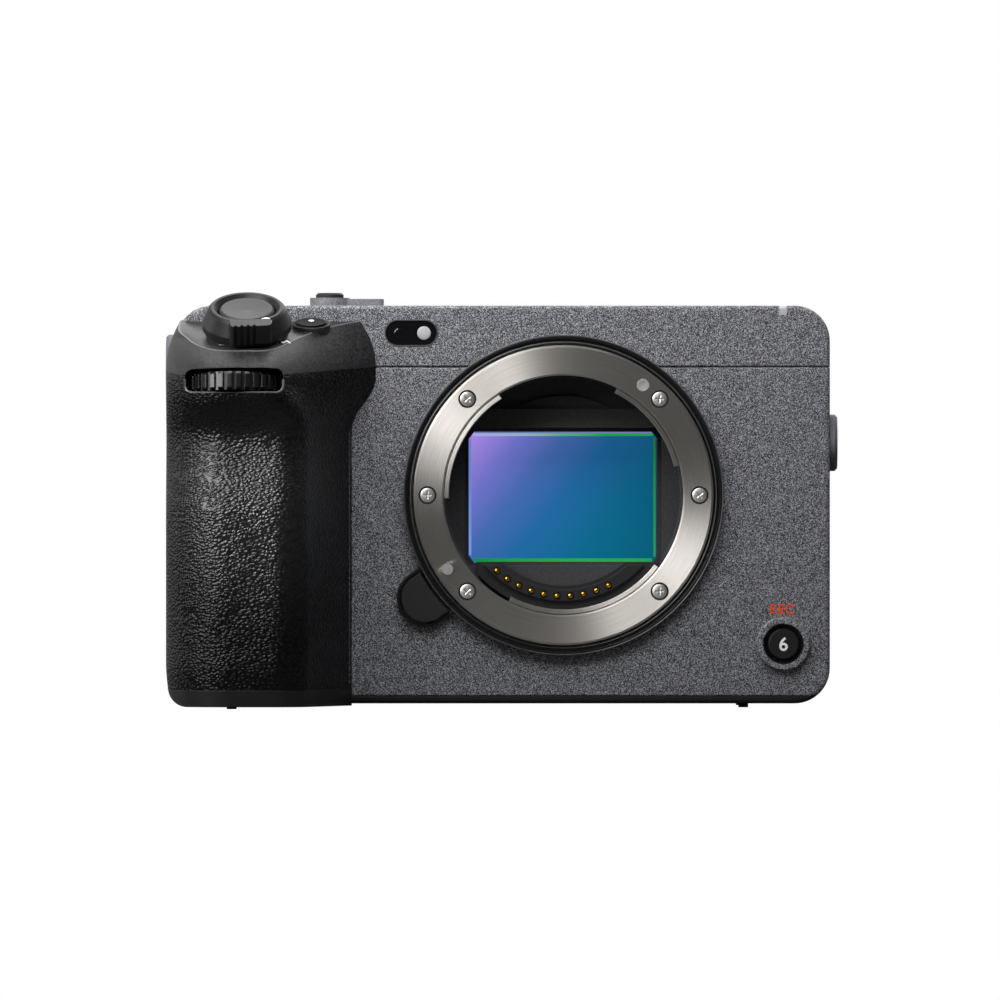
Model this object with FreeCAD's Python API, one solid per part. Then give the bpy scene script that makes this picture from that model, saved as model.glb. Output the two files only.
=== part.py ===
"""Compact cinema camera body without a lens, in millimetres.

+X is the right of the front view, -Y is the side that the lens looks from and +Z is up.
The origin is the mouth of the tripod socket in the underside, below the middle of the sensor plane.
"""
import FreeCAD, Part
import math
import os

V = FreeCAD.Vector

# Body casing
BODY_WIDTH = 125.8
BODY_HEIGHT = 76.6
RIGHT_SHARE = 0.4078
AXIS_SHARE = 0.5235
BODY_FRONT = -15.8
BODY_BACK = 33.0
CORNER_R = 6.8
LOW_LEFT_R = 2.3
EDGE_R = 0.8
WALL = 2.0
BASE_T = 1.45
FLOOR_T = 2.4
TOP_COVER_H = 11.8
BODY_RIGHT = BODY_WIDTH * RIGHT_SHARE
BODY_LEFT = BODY_RIGHT - BODY_WIDTH
SEAM_Z = BODY_HEIGHT - TOP_COVER_H
SEAM = 0.12
SEAM_GROOVE = 0.3
FRONT_SEAM_Y = -3.5
REAR_SEAM_Y = 25.0
FOOT_R = 0.95
FOOT_H = 0.8
FOOT_LEFT_X = BODY_LEFT + 11.0
FOOT_RIGHT_X = BODY_RIGHT - 16.6
FOOT_FRONT_Y = -10.0
FOOT_BACK_Y = 22.0
FOOT_GRIP_INSET = 5.0

# Lens mount
AXIS_Z = BODY_HEIGHT * AXIS_SHARE
FLANGE_Y = -18.0
THROAT_R = 23.05
MOUNT_R = 28.85
BEZEL_R = 30.85
BEZEL_RISE = 1.4
BEZEL_LIP_GAP = 0.35
BEZEL_LIP_W = 0.4
BEZEL_EDGE_W = 0.75
BEZEL_STEP = 0.45
BEZEL_SOFT = 0.25
RING_CHAMFER = 0.4
TAB_R = 22.0
TAB_FRONT = 1.6
TAB_T = 1.0
TAB_SPANS = ((14.4, 63.4), (122.5, 181.6), (242.8, 322.7))
THROAT_CHAMFER = 0.32
GROOVE_DEPTH = 0.55
SCREW_CIRCLE_R = 26.16
SCREW_ANGLES = (0, 45, 135, 180, 225, 315)
SCREW_HEAD_R = 1.4
SCREW_HEAD_T = 0.9
SCREW_SHANK_R = 0.8
SCREW_SINK_R = 1.75
SCREW_SINK = 1.1
LOCK_PIN_R = 1.1
LOCK_PIN_RADIUS = 26.46
LOCK_PIN_ANGLE = 212.5
LOCK_PIN_RISE = 0.9
RELEASE_ANGLE = 216.7
RELEASE_RADIUS = 33.1
RELEASE_R = 4.6
RELEASE_RIM = 0.55
RELEASE_TRAVEL = 1.3
STEM_R = 1.4

# Chamber, contacts, shutter and sensor
CHASSIS_T = 3.0
CHASSIS_LEFT = -37.5
CHASSIS_RIGHT = BODY_RIGHT - 3.8
CHASSIS_WALL = 2.0
CHASSIS_TOP = BODY_HEIGHT - 6.6
CHASSIS_BACK = 24.0
CHAMBER_R = 25.0
CHAMBER_BORE_R = 22.6
CHAMBER_DEPTH = 5.8
CHAMBER_BACK_T = 1.4
WINDOW_W = 38.0
WINDOW_H = 27.0
HOOD_H = 3.7
HOOD_T = 2.0
HOOD_DROP = 0.5
LEDGE_R = 19.2
LEDGE_T = 1.0
CONTACT_COUNT = 10
CONTACT_PITCH = 7.55
CONTACT_FIRST = -131.4
CONTACT_RADIUS = 19.4
CONTACT_R = 0.6
CONTACT_RISE = 0.5
CONTACT_L = 3.5
CONTACT_BAND_IN = 18.2
CONTACT_BAND_OUT = 20.4
CONTACT_BAND_Z = -13.4
CONTACT_FLOOR_IN = 17.4
CONTACT_FLOOR_OUT = 22.5
CONTACT_FLOOR_Z = -12.9
CONTACT_FLOOR_X = -16.4
CONTACT_STEP = 0.7
SHUTTER_W = 56.0
SHUTTER_BELOW = 19.0
SHUTTER_ABOVE = 27.0
SHUTTER_T = 3.4
SHUTTER_SKIN = 0.5
BLADE_COUNT = 3
BLADE_T = 0.25
BLADE_PITCH = 0.7
BLADE_H = 10.0
SENSOR_W = 37.2
SENSOR_H = 26.3
SENSOR_T = 1.7
SENSOR_GLASS_T = 0.8
CARRIAGE_W = 48.0
CARRIAGE_H = 35.0
CARRIAGE_T = 2.0
SLIDE_T = 1.0
SLIDE_RIM = 5.0
STABILISER_T = 2.0
STAGE_GAP = 0.3
BOARD_Y = 9.0
BOARD_T = 1.2
BOARD_LOW_Z = 8.0
CHIPS = ((CHASSIS_LEFT + 13.5, CHASSIS_TOP - 18, 11), (CHASSIS_LEFT + 13.5, 34, 9),
         (CHASSIS_LEFT + 12.5, 18, 7), (CHASSIS_RIGHT - 19.5, CHASSIS_TOP - 14, 8))
CHIP_T = 1.3
FAN_X = 5.0
FAN_Z = 33.0
FAN_SIZE = 36.0
FAN_T = 9.5
FAN_R = 15.0
FAN_BLADES = 11

# Battery, its chamber and door
BATTERY_W = 22.7
BATTERY_D = 38.7
BATTERY_H = BODY_HEIGHT - 24.9
BATTERY_X = BODY_LEFT + 14.7
BATTERY_FRONT = -28.0
BATTERY_GAP = 0.1
CHAMBER_WALL = 1.2
DOOR_T = 2.2
DOOR_GAP = 0.2
DOOR_PIN_R = 0.6
DOOR_KNUCKLE_L = 18.0
DOOR_EAR_W = 2.4
RUNNING = 0.05

# Memory cards and their door
CARD_DOOR_Y = BATTERY_FRONT + BATTERY_D - 0.9
CARD_DOOR_D = REAR_SEAM_Y - 0.7 - CARD_DOOR_Y
CARD_DOOR_Z = 19.0
CARD_DOOR_H = BODY_HEIGHT - 40.6
CARD_SLOT_H = 24.5
CARD_SLOT_T = 2.4
CARD_UNIT_W = 24.0
SIDE_DOOR_R = 2.0
SIDE_DOOR_GAP = 0.15

# Hand grip
GRIP_LEFT = BODY_LEFT - 1.7
GRIP_FRONT = -42.0
GRIP_HOLLOW = 3.2
GRIP_RIGHT = BODY_LEFT + 33.75
GRIP_HEAD_RIGHT = BODY_LEFT + 38.4
GRIP_FOLD_X = BODY_LEFT + 24.0
GRIP_FOLD_SHIFT = 5.0
GRIP_FRONT_R = 12.0
GRIP_FOLD_R = 7.0
GRIP_WRAP_Y = 6.0
GRIP_WALL = 1.6
GRIP_TAPER = 0.9
GRIP_TAPER_H = 8.0
GRIP_HOLLOW_Z = BODY_HEIGHT - 25.6
GRIP_HOLLOW_H = 15.0
GRIP_SWELL_Z = BODY_HEIGHT - 23.6
GRIP_SWELL_H = 9.5
GRIP_LEAN_Z = BODY_HEIGHT - 11.6
GRIP_LEAN = 0.042
GRIP_BROW_Z = BODY_HEIGHT - 14.6
GRIP_BROW = 0.465
GRIP_STEPS = 24
GRIP_BASE_LOW = -0.4
GRIP_BASE_TOP = 2.8
GRIP_BASE_ROUND = 3.8
CAP_SEAM_BACK_Z = SEAM_Z
CAP_SEAM_TILT = 4.5
CAP_TOP_Z = BODY_HEIGHT - 2.8
CAP_TOP_Y = -15.0
CAP_TOP_TILT = 16.5

# Lever, shutter button and dial on the grip
LEVER_TILT = 25.0
LEVER_X = BODY_LEFT + 13.75
LEVER_Y = -28.0
LEVER_Z = BODY_HEIGHT - 0.45
LEVER_TOP_R = 7.45
LEVER_SKIRT_R = 8.55
LEVER_T = 4.3
LEVER_TAB_W = 8.0
LEVER_TAB_OUT = 1.0
LEVER_TAB_LOW = 0.7
LEVER_TAB_RISE = 0.3
LEVER_TAB_TURN = 6.0
LEVER_GROOVES = 4
LEVER_GROOVE_PITCH = 1.2
LEVER_GROOVE_W = 0.56
LEVER_GROOVE_DEPTH = 0.55
LEVER_LIP_GAP = 0.25
COLLAR_STEP = 0.7
SHUTTER_BUTTON_R = 5.3
SHUTTER_BUTTON_T = 3.0
LEVER_BEARING_R = 6.15
BUTTON_PLAY = 0.15
DIAL_R = 10.0
DIAL_T = 3.6
DIAL_TILT = 8.0
DIAL_X = BODY_LEFT + 11.5
DIAL_Y = -31.6
DIAL_Z = BODY_HEIGHT - 15.9
DIAL_RIBS = 36
DIAL_GAP = 0.35
DIAL_AXLE_R = 1.0
SLOT_H = 5.0
GRIP_BUTTON_X = BODY_LEFT + 26.0
GRIP_BUTTON_Y = -20.2
GRIP_BUTTON_R = 2.85
GRIP_BUTTON_RING_R = 3.65
GRIP_BUTTON_RISE = 1.2

# Controls on the top and the front
REC_X = BODY_LEFT + 29.2
REC_Y = 14.0
REC_R = 2.7
REC_RISE = 2.8
REC_BEARING_R = 3.3
SWITCH_RING_R = 3.85
SWITCH_RISE = 1.85
SWITCH_ARM = 10.5
SWITCH_ARM_W = 4.0
SWITCH_ARM_STEP = 0.2
FRONT_BUTTON_X = BODY_RIGHT - 8.94
FRONT_BUTTON_Z = 11.45
FRONT_RING_R = 5.2
FRONT_RECESS_R = 3.9
FRONT_BUTTON_R = 3.1
FRONT_RING_RISE = 0.9
FRONT_BUTTON_RISE = 0.5
FRONT_BUTTON_TRAVEL = 0.7
WINDOW_LENS_X = BODY_LEFT + 45.2
WINDOW_LENS_Z = BODY_HEIGHT - 5.3
WINDOW_LENS_W = 10.1
WINDOW_LENS_H = 4.9
WINDOW_LENS_R = 2.4
TALLY_X = BODY_RIGHT - 9.05
TALLY_W = 1.4
TALLY_H = 1.8

# Threads, shoe and sockets
THREAD_R = 2.55
THREAD_DEPTH = 5.4
BUSH_R = 5.0
BUSH_END = 1.0
RIGHT_BOSS_R = 5.45
RIGHT_BOSS_RISE = 1.5
RIGHT_BOSS_Y = -9.6
RIGHT_BOSS_Z = AXIS_Z + 10.1
LEFT_BOSS_R = 6.65
LEFT_BOSS_RISE = 2.6
LEFT_BOSS_Y = 16.0
LEFT_BOSS_Z = BODY_HEIGHT - 11.9
TOP_BUSH_R = 4.2
RIGHT_BUSH_R = 3.8
TOP_BUSHES = ((BODY_LEFT + 47.5, -4.0), (BODY_RIGHT - 13.3, -4.0), (BODY_RIGHT - 13.3, 20.0))
SHOE_W = 18.6
SHOE_SLOT_W = 12.5
SHOE_L = 18.0
SHOE_DEPTH = 4.2
SHOE_RAIL_T = 1.5
SHOE_WALL = 1.2
SHOE_Y = 12.0
JACK_R = 1.75
JACK_BODY_R = 3.4
PORT_SPLIT = 0.42
PORT_MARGIN = 1.8
JACK_PITCH = 7.5
PORT_DOOR_Y = 0.0
PORT_DOOR_D = 22.5
PORT_DOOR_T = 1.8
UPPER_DOOR_Z = (BODY_HEIGHT * 0.581, BODY_HEIGHT * 0.816)
LOWER_DOOR_Z = (BODY_HEIGHT * 0.1175, BODY_HEIGHT * 0.5548)

# Rear monitor and controls
MONITOR_LEFT = BODY_LEFT + 45.0
MONITOR_RIGHT = BODY_RIGHT - 8.1
MONITOR_LOW = 13.0
MONITOR_HIGH = BODY_HEIGHT - 10.1
MONITOR_GAP = 0.4
MONITOR_T = 9.1
MONITOR_R = 3.0
MONITOR_GLASS_MARGIN = 2.2
MONITOR_GLASS_T = 0.8
HINGE_X = BODY_RIGHT - 3.3
HINGE_RISE = 4.0
HINGE_R = 2.9
HINGE_PIN_R = 1.0
HINGE_LUG_H = 6.0
WHEEL_X = BODY_LEFT + 24.0
WHEEL_Z = 26.0
WHEEL_R = 9.2
WHEEL_BUTTON_R = 3.85
WHEEL_RISE = 1.5
STICK_X = BODY_LEFT + 30.5
STICK_Z = BODY_HEIGHT - 28.6
STICK_R = 3.1
STICK_RISE = 3.0
REAR_BUTTON_R = 2.6
REAR_BUTTON_RISE = 0.9
MENU_X = BODY_LEFT + 38.0
MENU_Z = BODY_HEIGHT - 17.1
PLAY_X = MENU_X
PLAY_Z = 11.0
REAR_DIAL_X = BODY_LEFT + 16.5
REAR_DIAL_Y = 27.4
REAR_DIAL_Z = BODY_HEIGHT - 7.1
REAR_DIAL_R = 8.6
REAR_DIAL_T = 3.4
REAR_DIAL_RIBS = 32
THUMB_REST_RISE = 4.0
THUMB_REST_W = 13.0
THUMB_REST_Z = (WHEEL_Z + 16.0, BODY_HEIGHT - 14.6)
CASE_SCREW_R = 1.3
CASE_SHANK_R = 0.7
CASE_SCREWS = ((BODY_LEFT + 34.5, 27), (20, 27), (BODY_RIGHT - 7.3, -8), (BODY_RIGHT - 7.3, 27),
               (BODY_LEFT + 39.5, -8))

CHASSIS_FRONT = BODY_FRONT + WALL
CHAMBER_FRONT = CHASSIS_FRONT + CHASSIS_T
CHAMBER_BACK = CHAMBER_FRONT + CHAMBER_DEPTH
SHUTTER_BACK = CHAMBER_BACK + SHUTTER_T
INNER_BACK = BODY_BACK - WALL
BIG = 400.0
pieces = {}


def box(x0, x1, y0, y1, z0, z1):
    """A block between two corners."""
    return Part.makeBox(x1 - x0, y1 - y0, z1 - z0, V(x0, y0, z0))


def rod(radius, start, direction, length):
    """A cylinder from its start point along a direction."""
    return Part.makeCylinder(radius, length, start, direction)


def tube(outer, inner, start, direction, length):
    """A ring or tube from its start point along a direction."""
    return rod(outer, start, direction, length).cut(rod(inner, start, direction, length))


def rounded_wire(points, radii):
    """A closed flat wire whose corners are arcs that touch both sides; a radius of 0 stays sharp."""
    firsts, middles, lasts = [], [], []
    count = len(points)
    for i in range(count):
        back = (points[i - 1] - points[i]).normalize()
        ahead = (points[(i + 1) % count] - points[i]).normalize()
        half = back.getAngle(ahead) / 2
        inward = (back + ahead).normalize() if radii[i] > 0 else V(0, 0, 0)
        setback = radii[i] / math.tan(half)
        firsts.append(points[i] + back * setback)
        lasts.append(points[i] + ahead * setback)
        middles.append(points[i] + inward * (radii[i] / math.sin(half) - radii[i]))
    edges = []
    for i in range(count):
        if radii[i] > 0:
            edges.append(Part.Arc(firsts[i], middles[i], lasts[i]).toShape())
        following = firsts[(i + 1) % count]
        if (following - lasts[i]).Length > 1e-6:
            edges.append(Part.makeLine(lasts[i], following))
    return Part.Wire(edges)


def plate(corners, radius, travel):
    """A flat plate with rounded corners, pushed along a vector."""
    radii = [radius] * len(corners) if isinstance(radius, (int, float)) else radius
    return Part.Face(rounded_wire(corners, radii)).extrude(travel)


def plate_y(x0, x1, z0, z1, radius, y0, y1):
    """A rounded rectangle seen from the front, pushed along Y."""
    corners = [V(x0, y0, z0), V(x1, y0, z0), V(x1, y0, z1), V(x0, y0, z1)]
    return plate(corners, radius, V(0, y1 - y0, 0))


def plate_z(x0, x1, y0, y1, radius, z0, z1):
    """A rounded rectangle seen from above, pushed along Z."""
    corners = [V(x0, y0, z0), V(x1, y0, z0), V(x1, y1, z0), V(x0, y1, z0)]
    return plate(corners, radius, V(0, 0, z1 - z0))


def plate_x(y0, y1, z0, z1, radius, x0, x1):
    """A rounded rectangle seen from the side, pushed along X."""
    corners = [V(x0, y0, z0), V(x0, y1, z0), V(x0, y1, z1), V(x0, y0, z1)]
    return plate(corners, radius, V(x1 - x0, 0, 0))


def turned(profile, centre, axis):
    """A solid of revolution: profile points are (radius, height along the axis)."""
    points = [V(r, 0, h) for r, h in profile]
    face = Part.Face(Part.makePolygon(points + [points[0]]))
    solid = face.revolve(V(0, 0, 0), V(0, 0, 1), 360)
    solid.Placement = FreeCAD.Placement(centre, FreeCAD.Rotation(V(0, 0, 1), axis))
    return solid


def around(radius, angle, y=0.0):
    """A point at a radius and an angle round the lens axis."""
    turn = math.radians(angle)
    return V(radius * math.cos(turn), y, AXIS_Z + radius * math.sin(turn))


def sector_y(inner, outer, low, high, y0, y1):
    """A block that is a part of a ring round the lens axis, between two angles."""
    mid = (low + high) / 2
    edges = [
        Part.makeLine(around(inner, low, y0), around(outer, low, y0)),
        Part.Arc(around(outer, low, y0), around(outer, mid, y0), around(outer, high, y0)).toShape(),
        Part.makeLine(around(outer, high, y0), around(inner, high, y0)),
        Part.Arc(around(inner, high, y0), around(inner, mid, y0), around(inner, low, y0)).toShape(),
    ]
    return Part.Face(Part.Wire(edges)).extrude(V(0, y1 - y0, 0))


def fuse(shapes):
    """All the shapes as one solid."""
    whole = shapes[0].multiFuse(shapes[1:]) if len(shapes) > 1 else shapes[0]
    return whole.removeSplitter()


def ribs_round(count, radius, size, depth, centre, axis, length):
    """Small grooves spaced evenly round an axis, to be cut from a knob."""
    cutters = []
    for i in range(count):
        groove = box(radius - depth, radius + depth, -size / 2, size / 2, -length, length)
        groove.rotate(V(0, 0, 0), V(0, 0, 1), 360.0 * i / count)
        to_place = FreeCAD.Placement(centre, FreeCAD.Rotation(V(0, 0, 1), axis))
        groove.Placement = to_place.multiply(groove.Placement)
        cutters.append(groove)
    return Part.makeCompound(cutters)


def on_axis(x, z, y=0.0):
    """A point given from the lens axis."""
    return V(x, y, AXIS_Z + z)


BACKWARD = V(0, 1, 0)
UP = V(0, 0, 1)
RIGHTWARD = V(1, 0, 0)
LEVER_AXIS = V(0, -math.sin(math.radians(LEVER_TILT)), math.cos(math.radians(LEVER_TILT)))
CAP_AXIS = V(0, -math.sin(math.radians(CAP_TOP_TILT)), math.cos(math.radians(CAP_TOP_TILT)))
DIAL_AXIS = V(0, math.sin(math.radians(DIAL_TILT)), math.cos(math.radians(DIAL_TILT)))
LEVER_TOP = V(LEVER_X, LEVER_Y, LEVER_Z)
DIAL_CENTRE = V(DIAL_X, DIAL_Y, DIAL_Z)


def cap_surface_z(y):
    """Height of the sloping top of the grip at a depth."""
    return CAP_TOP_Z + (y - CAP_TOP_Y) * math.tan(math.radians(CAP_TOP_TILT))


GRIP_BUTTON_SEAT = V(GRIP_BUTTON_X, GRIP_BUTTON_Y, cap_surface_z(GRIP_BUTTON_Y))


def release_outline(grow, y0, y1):
    """The lens release: a round pad that runs in under the edge of the mount."""
    centre = around(RELEASE_RADIUS, RELEASE_ANGLE, y0)
    pad = rod(RELEASE_R + grow, centre, BACKWARD, y1 - y0)
    half = RELEASE_R + grow
    neck = box(BEZEL_R - 4, RELEASE_RADIUS, y0, y1, -half, half)
    neck.rotate(V(0, 0, 0), V(0, -1, 0), RELEASE_ANGLE)
    neck.translate(V(0, 0, AXIS_Z))
    keep_out = rod(BEZEL_R + RELEASE_RIM - grow, on_axis(0, 0, y0), BACKWARD, y1 - y0)
    return pad.fuse(neck).cut(keep_out)


def release_stem(y):
    """The start of the release's stem: in the middle of the pad that shows beyond the mount's rim."""
    rim_r = BEZEL_R + RELEASE_RIM
    return around((rim_r + RELEASE_RADIUS + RELEASE_R) / 2, RELEASE_ANGLE, y)


def casing_block():
    """The outside of the casing as one solid block with its edges rounded."""
    radii = (LOW_LEFT_R, CORNER_R, CORNER_R, CORNER_R)
    outer = plate_y(BODY_LEFT, BODY_RIGHT, 0, BODY_HEIGHT, radii, BODY_FRONT, BODY_BACK)
    rims = [e for e in outer.Edges if e.BoundBox.YLength < 1e-6]
    return outer.makeFillet(EDGE_R, rims)


def casing_inside():
    """The hollow inside the casing, above its floor."""
    inner_r = (0, CORNER_R - WALL, CORNER_R - WALL, CORNER_R - WALL)
    return plate_y(BODY_LEFT + WALL, BODY_RIGHT - WALL, FLOOR_T, BODY_HEIGHT - WALL, inner_r,
                   BODY_FRONT + WALL, INNER_BACK)


def seam_groove():
    """A shallow groove with sloping sides along the front seam between the top and the front cover."""
    half = SEAM_GROOVE / math.sqrt(2)
    groove = box(-BIG, BIG, -half, half, -half, half)
    groove.rotate(V(0, 0, 0), V(1, 0, 0), 45)
    groove.translate(V(0, BODY_FRONT, SEAM_Z - SEAM / 2))
    return groove


def make_casing():
    """The five covers and the base plate, all cut from one hollow block."""
    outer = casing_block()
    shell = outer.cut(casing_inside())
    slab = box(BODY_LEFT + WALL, BODY_RIGHT - WALL, BODY_FRONT + WALL, INNER_BACK, 0, FLOOR_T)
    base = shell.common(box(-BIG, BIG, -BIG, BIG, -1, BASE_T).fuse(slab))
    walls = shell.cut(box(-BIG, BIG, -BIG, BIG, -1, BASE_T + SEAM)).cut(slab)
    low, high = BASE_T, SEAM_Z - SEAM
    pieces["base_plate"] = base
    pieces["top_cover"] = walls.common(box(-BIG, BIG, -BIG, BIG, SEAM_Z, BIG)).cut(seam_groove())
    front = walls.common(box(-BIG, BIG, -BIG, FRONT_SEAM_Y, low, high))
    pieces["front_cover"] = front.cut(seam_groove())
    pieces["rear_cover"] = walls.common(box(-BIG, BIG, REAR_SEAM_Y, BIG, low, high))
    middle = walls.common(box(-BIG, BIG, FRONT_SEAM_Y + SEAM, REAR_SEAM_Y - SEAM, low, high))
    pieces["left_cover"] = middle.common(box(-BIG, 0, -BIG, BIG, -BIG, BIG))
    pieces["right_cover"] = middle.common(box(0, BIG, -BIG, BIG, -BIG, BIG))


def make_mount():
    """Metal bayonet ring with its screws, black bezel, lock pin and release button."""
    ring = tube(MOUNT_R, THROAT_R, on_axis(0, 0, FLANGE_Y), BACKWARD, CHASSIS_FRONT - FLANGE_Y)
    chamfer = turned([(THROAT_R - 1, -1), (THROAT_R + THROAT_CHAMFER + 1, -1),
                      (THROAT_R - 1, THROAT_CHAMFER + 1)], on_axis(0, 0, FLANGE_Y), BACKWARD)
    rim = turned([(MOUNT_R - RING_CHAMFER - 1, -1), (MOUNT_R + 1, -1), (MOUNT_R + 1, RING_CHAMFER + 1)],
                 on_axis(0, 0, FLANGE_Y), BACKWARD)
    ring = ring.cut(chamfer).cut(rim)
    tabs_front = FLANGE_Y + TAB_FRONT
    groove_r = THROAT_R + GROOVE_DEPTH
    ring = ring.cut(rod(groove_r, on_axis(0, 0, tabs_front), BACKWARD, CHASSIS_FRONT - tabs_front))
    for low, high in TAB_SPANS:
        ring = ring.fuse(sector_y(TAB_R, groove_r + 0.3, low, high, tabs_front, tabs_front + TAB_T))
    screws = []
    seat_y = FLANGE_Y + SCREW_SINK
    for angle in SCREW_ANGLES:
        sink = rod(SCREW_SINK_R, around(SCREW_CIRCLE_R, angle, FLANGE_Y - 1), BACKWARD, SCREW_SINK + 1)
        hole = rod(SCREW_SHANK_R, around(SCREW_CIRCLE_R, angle, FLANGE_Y), BACKWARD, BIG)
        ring = ring.cut(sink).cut(hole)
        head_start = around(SCREW_CIRCLE_R, angle, seat_y - SCREW_HEAD_T)
        head = rod(SCREW_HEAD_R, head_start, BACKWARD, SCREW_HEAD_T)
        shank = rod(SCREW_SHANK_R, around(SCREW_CIRCLE_R, angle, seat_y), BACKWARD,
                    CHASSIS_FRONT - seat_y + CHASSIS_T * 0.8)
        screws.append(cross_cut(head.fuse(shank), head_start))
    pin_start = around(LOCK_PIN_RADIUS, LOCK_PIN_ANGLE, FLANGE_Y - LOCK_PIN_RISE)
    ring = ring.cut(rod(LOCK_PIN_R + RUNNING, pin_start, BACKWARD, BIG))
    pieces["mount_ring"] = ring.removeSplitter()
    pieces["screws"] = Part.makeCompound(screws)
    pieces["lock_pin"] = rod(LOCK_PIN_R, pin_start, BACKWARD, CHAMBER_FRONT - pin_start.y - 0.4)
    bezel_front = BODY_FRONT - BEZEL_RISE
    gap = 0.05
    spigot_r = MOUNT_R + 0.6
    inner_r, lip_r, edge_r = MOUNT_R + gap, MOUNT_R + BEZEL_LIP_GAP, BEZEL_R - BEZEL_EDGE_W
    bezel = turned(
        [(inner_r, BEZEL_STEP), (lip_r, BEZEL_STEP), (lip_r, 0), (lip_r + BEZEL_LIP_W, 0),
         (lip_r + BEZEL_LIP_W, BEZEL_STEP), (edge_r, BEZEL_STEP), (edge_r, 0), (BEZEL_R - BEZEL_SOFT, 0),
         (BEZEL_R, BEZEL_SOFT), (BEZEL_R, BEZEL_RISE), (inner_r, BEZEL_RISE)],
        on_axis(0, 0, bezel_front), BACKWARD)
    bezel = bezel.fuse(tube(spigot_r, MOUNT_R + gap, on_axis(0, 0, BODY_FRONT), BACKWARD, WALL))
    rim_front = BODY_FRONT - BEZEL_RISE * 0.6
    rim = release_outline(RELEASE_RIM + 0.4, rim_front, BODY_FRONT)
    rim = rim.cut(release_outline(0.4, rim_front, BODY_FRONT))
    pieces["mount_bezel"] = fuse([bezel, rim])
    cap_back = CHASSIS_FRONT - RELEASE_TRAVEL - 0.1
    cap = release_outline(0, BODY_FRONT - BEZEL_RISE - 0.4, cap_back)
    stem = rod(STEM_R, release_stem(cap_back), BACKWARD, CHAMBER_FRONT - cap_back)
    pieces["release_button"] = fuse([cap, stem])
    through = WALL + 2
    spigot_hole = rod(spigot_r, on_axis(0, 0, BODY_FRONT - 1), BACKWARD, through)
    cover = pieces["front_cover"].cut(spigot_hole)
    cover = cover.cut(release_outline(0.4, BODY_FRONT - 3, CHASSIS_FRONT + 1))
    pieces["front_cover"] = cover.cut(rod(BEZEL_R - 1.2, on_axis(0, 0, BODY_FRONT - 1), BACKWARD, through))
    pieces["top_cover"] = pieces["top_cover"].cut(spigot_hole)


def cross_cut(screw, top):
    """A screw with its cross-shaped slot, for a driver from the front."""
    arm, width, depth = 0.95, 0.36, 0.55
    across = box(-arm, arm, -0.1, depth, -width / 2, width / 2)
    upright = box(-width / 2, width / 2, -0.1, depth, -arm, arm)
    slot = across.fuse(upright)
    slot.translate(top)
    return screw.cut(slot)


def make_chassis():
    """The metal frame inside: a front plate round the throat, two side walls and a floor."""
    front = plate_y(CHASSIS_LEFT, CHASSIS_RIGHT, FLOOR_T, CHASSIS_TOP, 1.5, CHASSIS_FRONT, CHAMBER_FRONT)
    front = front.cut(rod(CHAMBER_BORE_R + 0.8, on_axis(0, 0, -20), BACKWARD, 20))
    walls_top = CHASSIS_TOP - 2
    left = box(CHASSIS_LEFT, CHASSIS_LEFT + CHASSIS_WALL, CHAMBER_FRONT, CHASSIS_BACK, FLOOR_T, walls_top)
    right = box(CHASSIS_RIGHT - CHASSIS_WALL, CHASSIS_RIGHT, CHAMBER_FRONT, CHASSIS_BACK, FLOOR_T, walls_top)
    floor = box(CHASSIS_LEFT, CHASSIS_RIGHT, CHAMBER_FRONT, CHASSIS_BACK, FLOOR_T, FLOOR_T + CHASSIS_T)
    chassis = fuse([front, left, right, floor]).common(casing_inside())
    for angle in SCREW_ANGLES:
        screw_start = around(SCREW_CIRCLE_R, angle, CHASSIS_FRONT)
        chassis = chassis.cut(rod(SCREW_SHANK_R, screw_start, BACKWARD, CHASSIS_T))
    pin_start = around(LOCK_PIN_RADIUS, LOCK_PIN_ANGLE, -30)
    chassis = chassis.cut(rod(LOCK_PIN_R + RUNNING, pin_start, BACKWARD, 40))
    pieces["chassis"] = chassis.cut(rod(STEM_R + RUNNING, release_stem(-30), BACKWARD, 40))


def make_chamber():
    """Black light chamber behind the throat, with the contact block and its sprung pins."""
    chamber = rod(CHAMBER_R, on_axis(0, 0, CHAMBER_FRONT), BACKWARD, CHAMBER_DEPTH)
    wall_front = CHAMBER_BACK - CHAMBER_BACK_T
    depth = wall_front - CHAMBER_FRONT
    chamber = chamber.cut(rod(CHAMBER_BORE_R, on_axis(0, 0, CHAMBER_FRONT), BACKWARD, depth))
    half_w, high = WINDOW_W / 2, AXIS_Z + WINDOW_H / 2
    window = plate_y(-half_w, half_w, high - WINDOW_H, high, 1.0, wall_front - 3, CHAMBER_BACK + 1)
    hood_low, hood_high = high - HOOD_DROP, high - HOOD_DROP + HOOD_H
    hood = plate_y(-half_w, half_w, hood_low, hood_high, 0.4, wall_front - HOOD_T, wall_front)
    hood = hood.common(rod(CHAMBER_BORE_R, on_axis(0, 0, wall_front - HOOD_T), BACKWARD, HOOD_T))
    ledge = rod(LEDGE_R, on_axis(0, 0, wall_front - LEDGE_T), BACKWARD, LEDGE_T)
    ledge = ledge.common(box(-BIG, BIG, -BIG, BIG, hood_high - 0.5, BIG))
    pieces["light_chamber"] = fuse([chamber.cut(window), hood, ledge])
    block_front = FLANGE_Y + TAB_FRONT + TAB_T - 0.2
    block = contact_block(block_front, wall_front)
    pins = []
    for i in range(CONTACT_COUNT):
        place = around(CONTACT_RADIUS, CONTACT_FIRST + CONTACT_PITCH * i, block_front - CONTACT_RISE)
        pins.append(round_pin(CONTACT_R, place, CONTACT_L))
        block = block.cut(rod(CONTACT_R + RUNNING, place, BACKWARD, CONTACT_L + CONTACT_RISE + 0.3))
    pieces["contact_block"] = block
    pieces["contact_pins"] = Part.makeCompound(pins)


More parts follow.
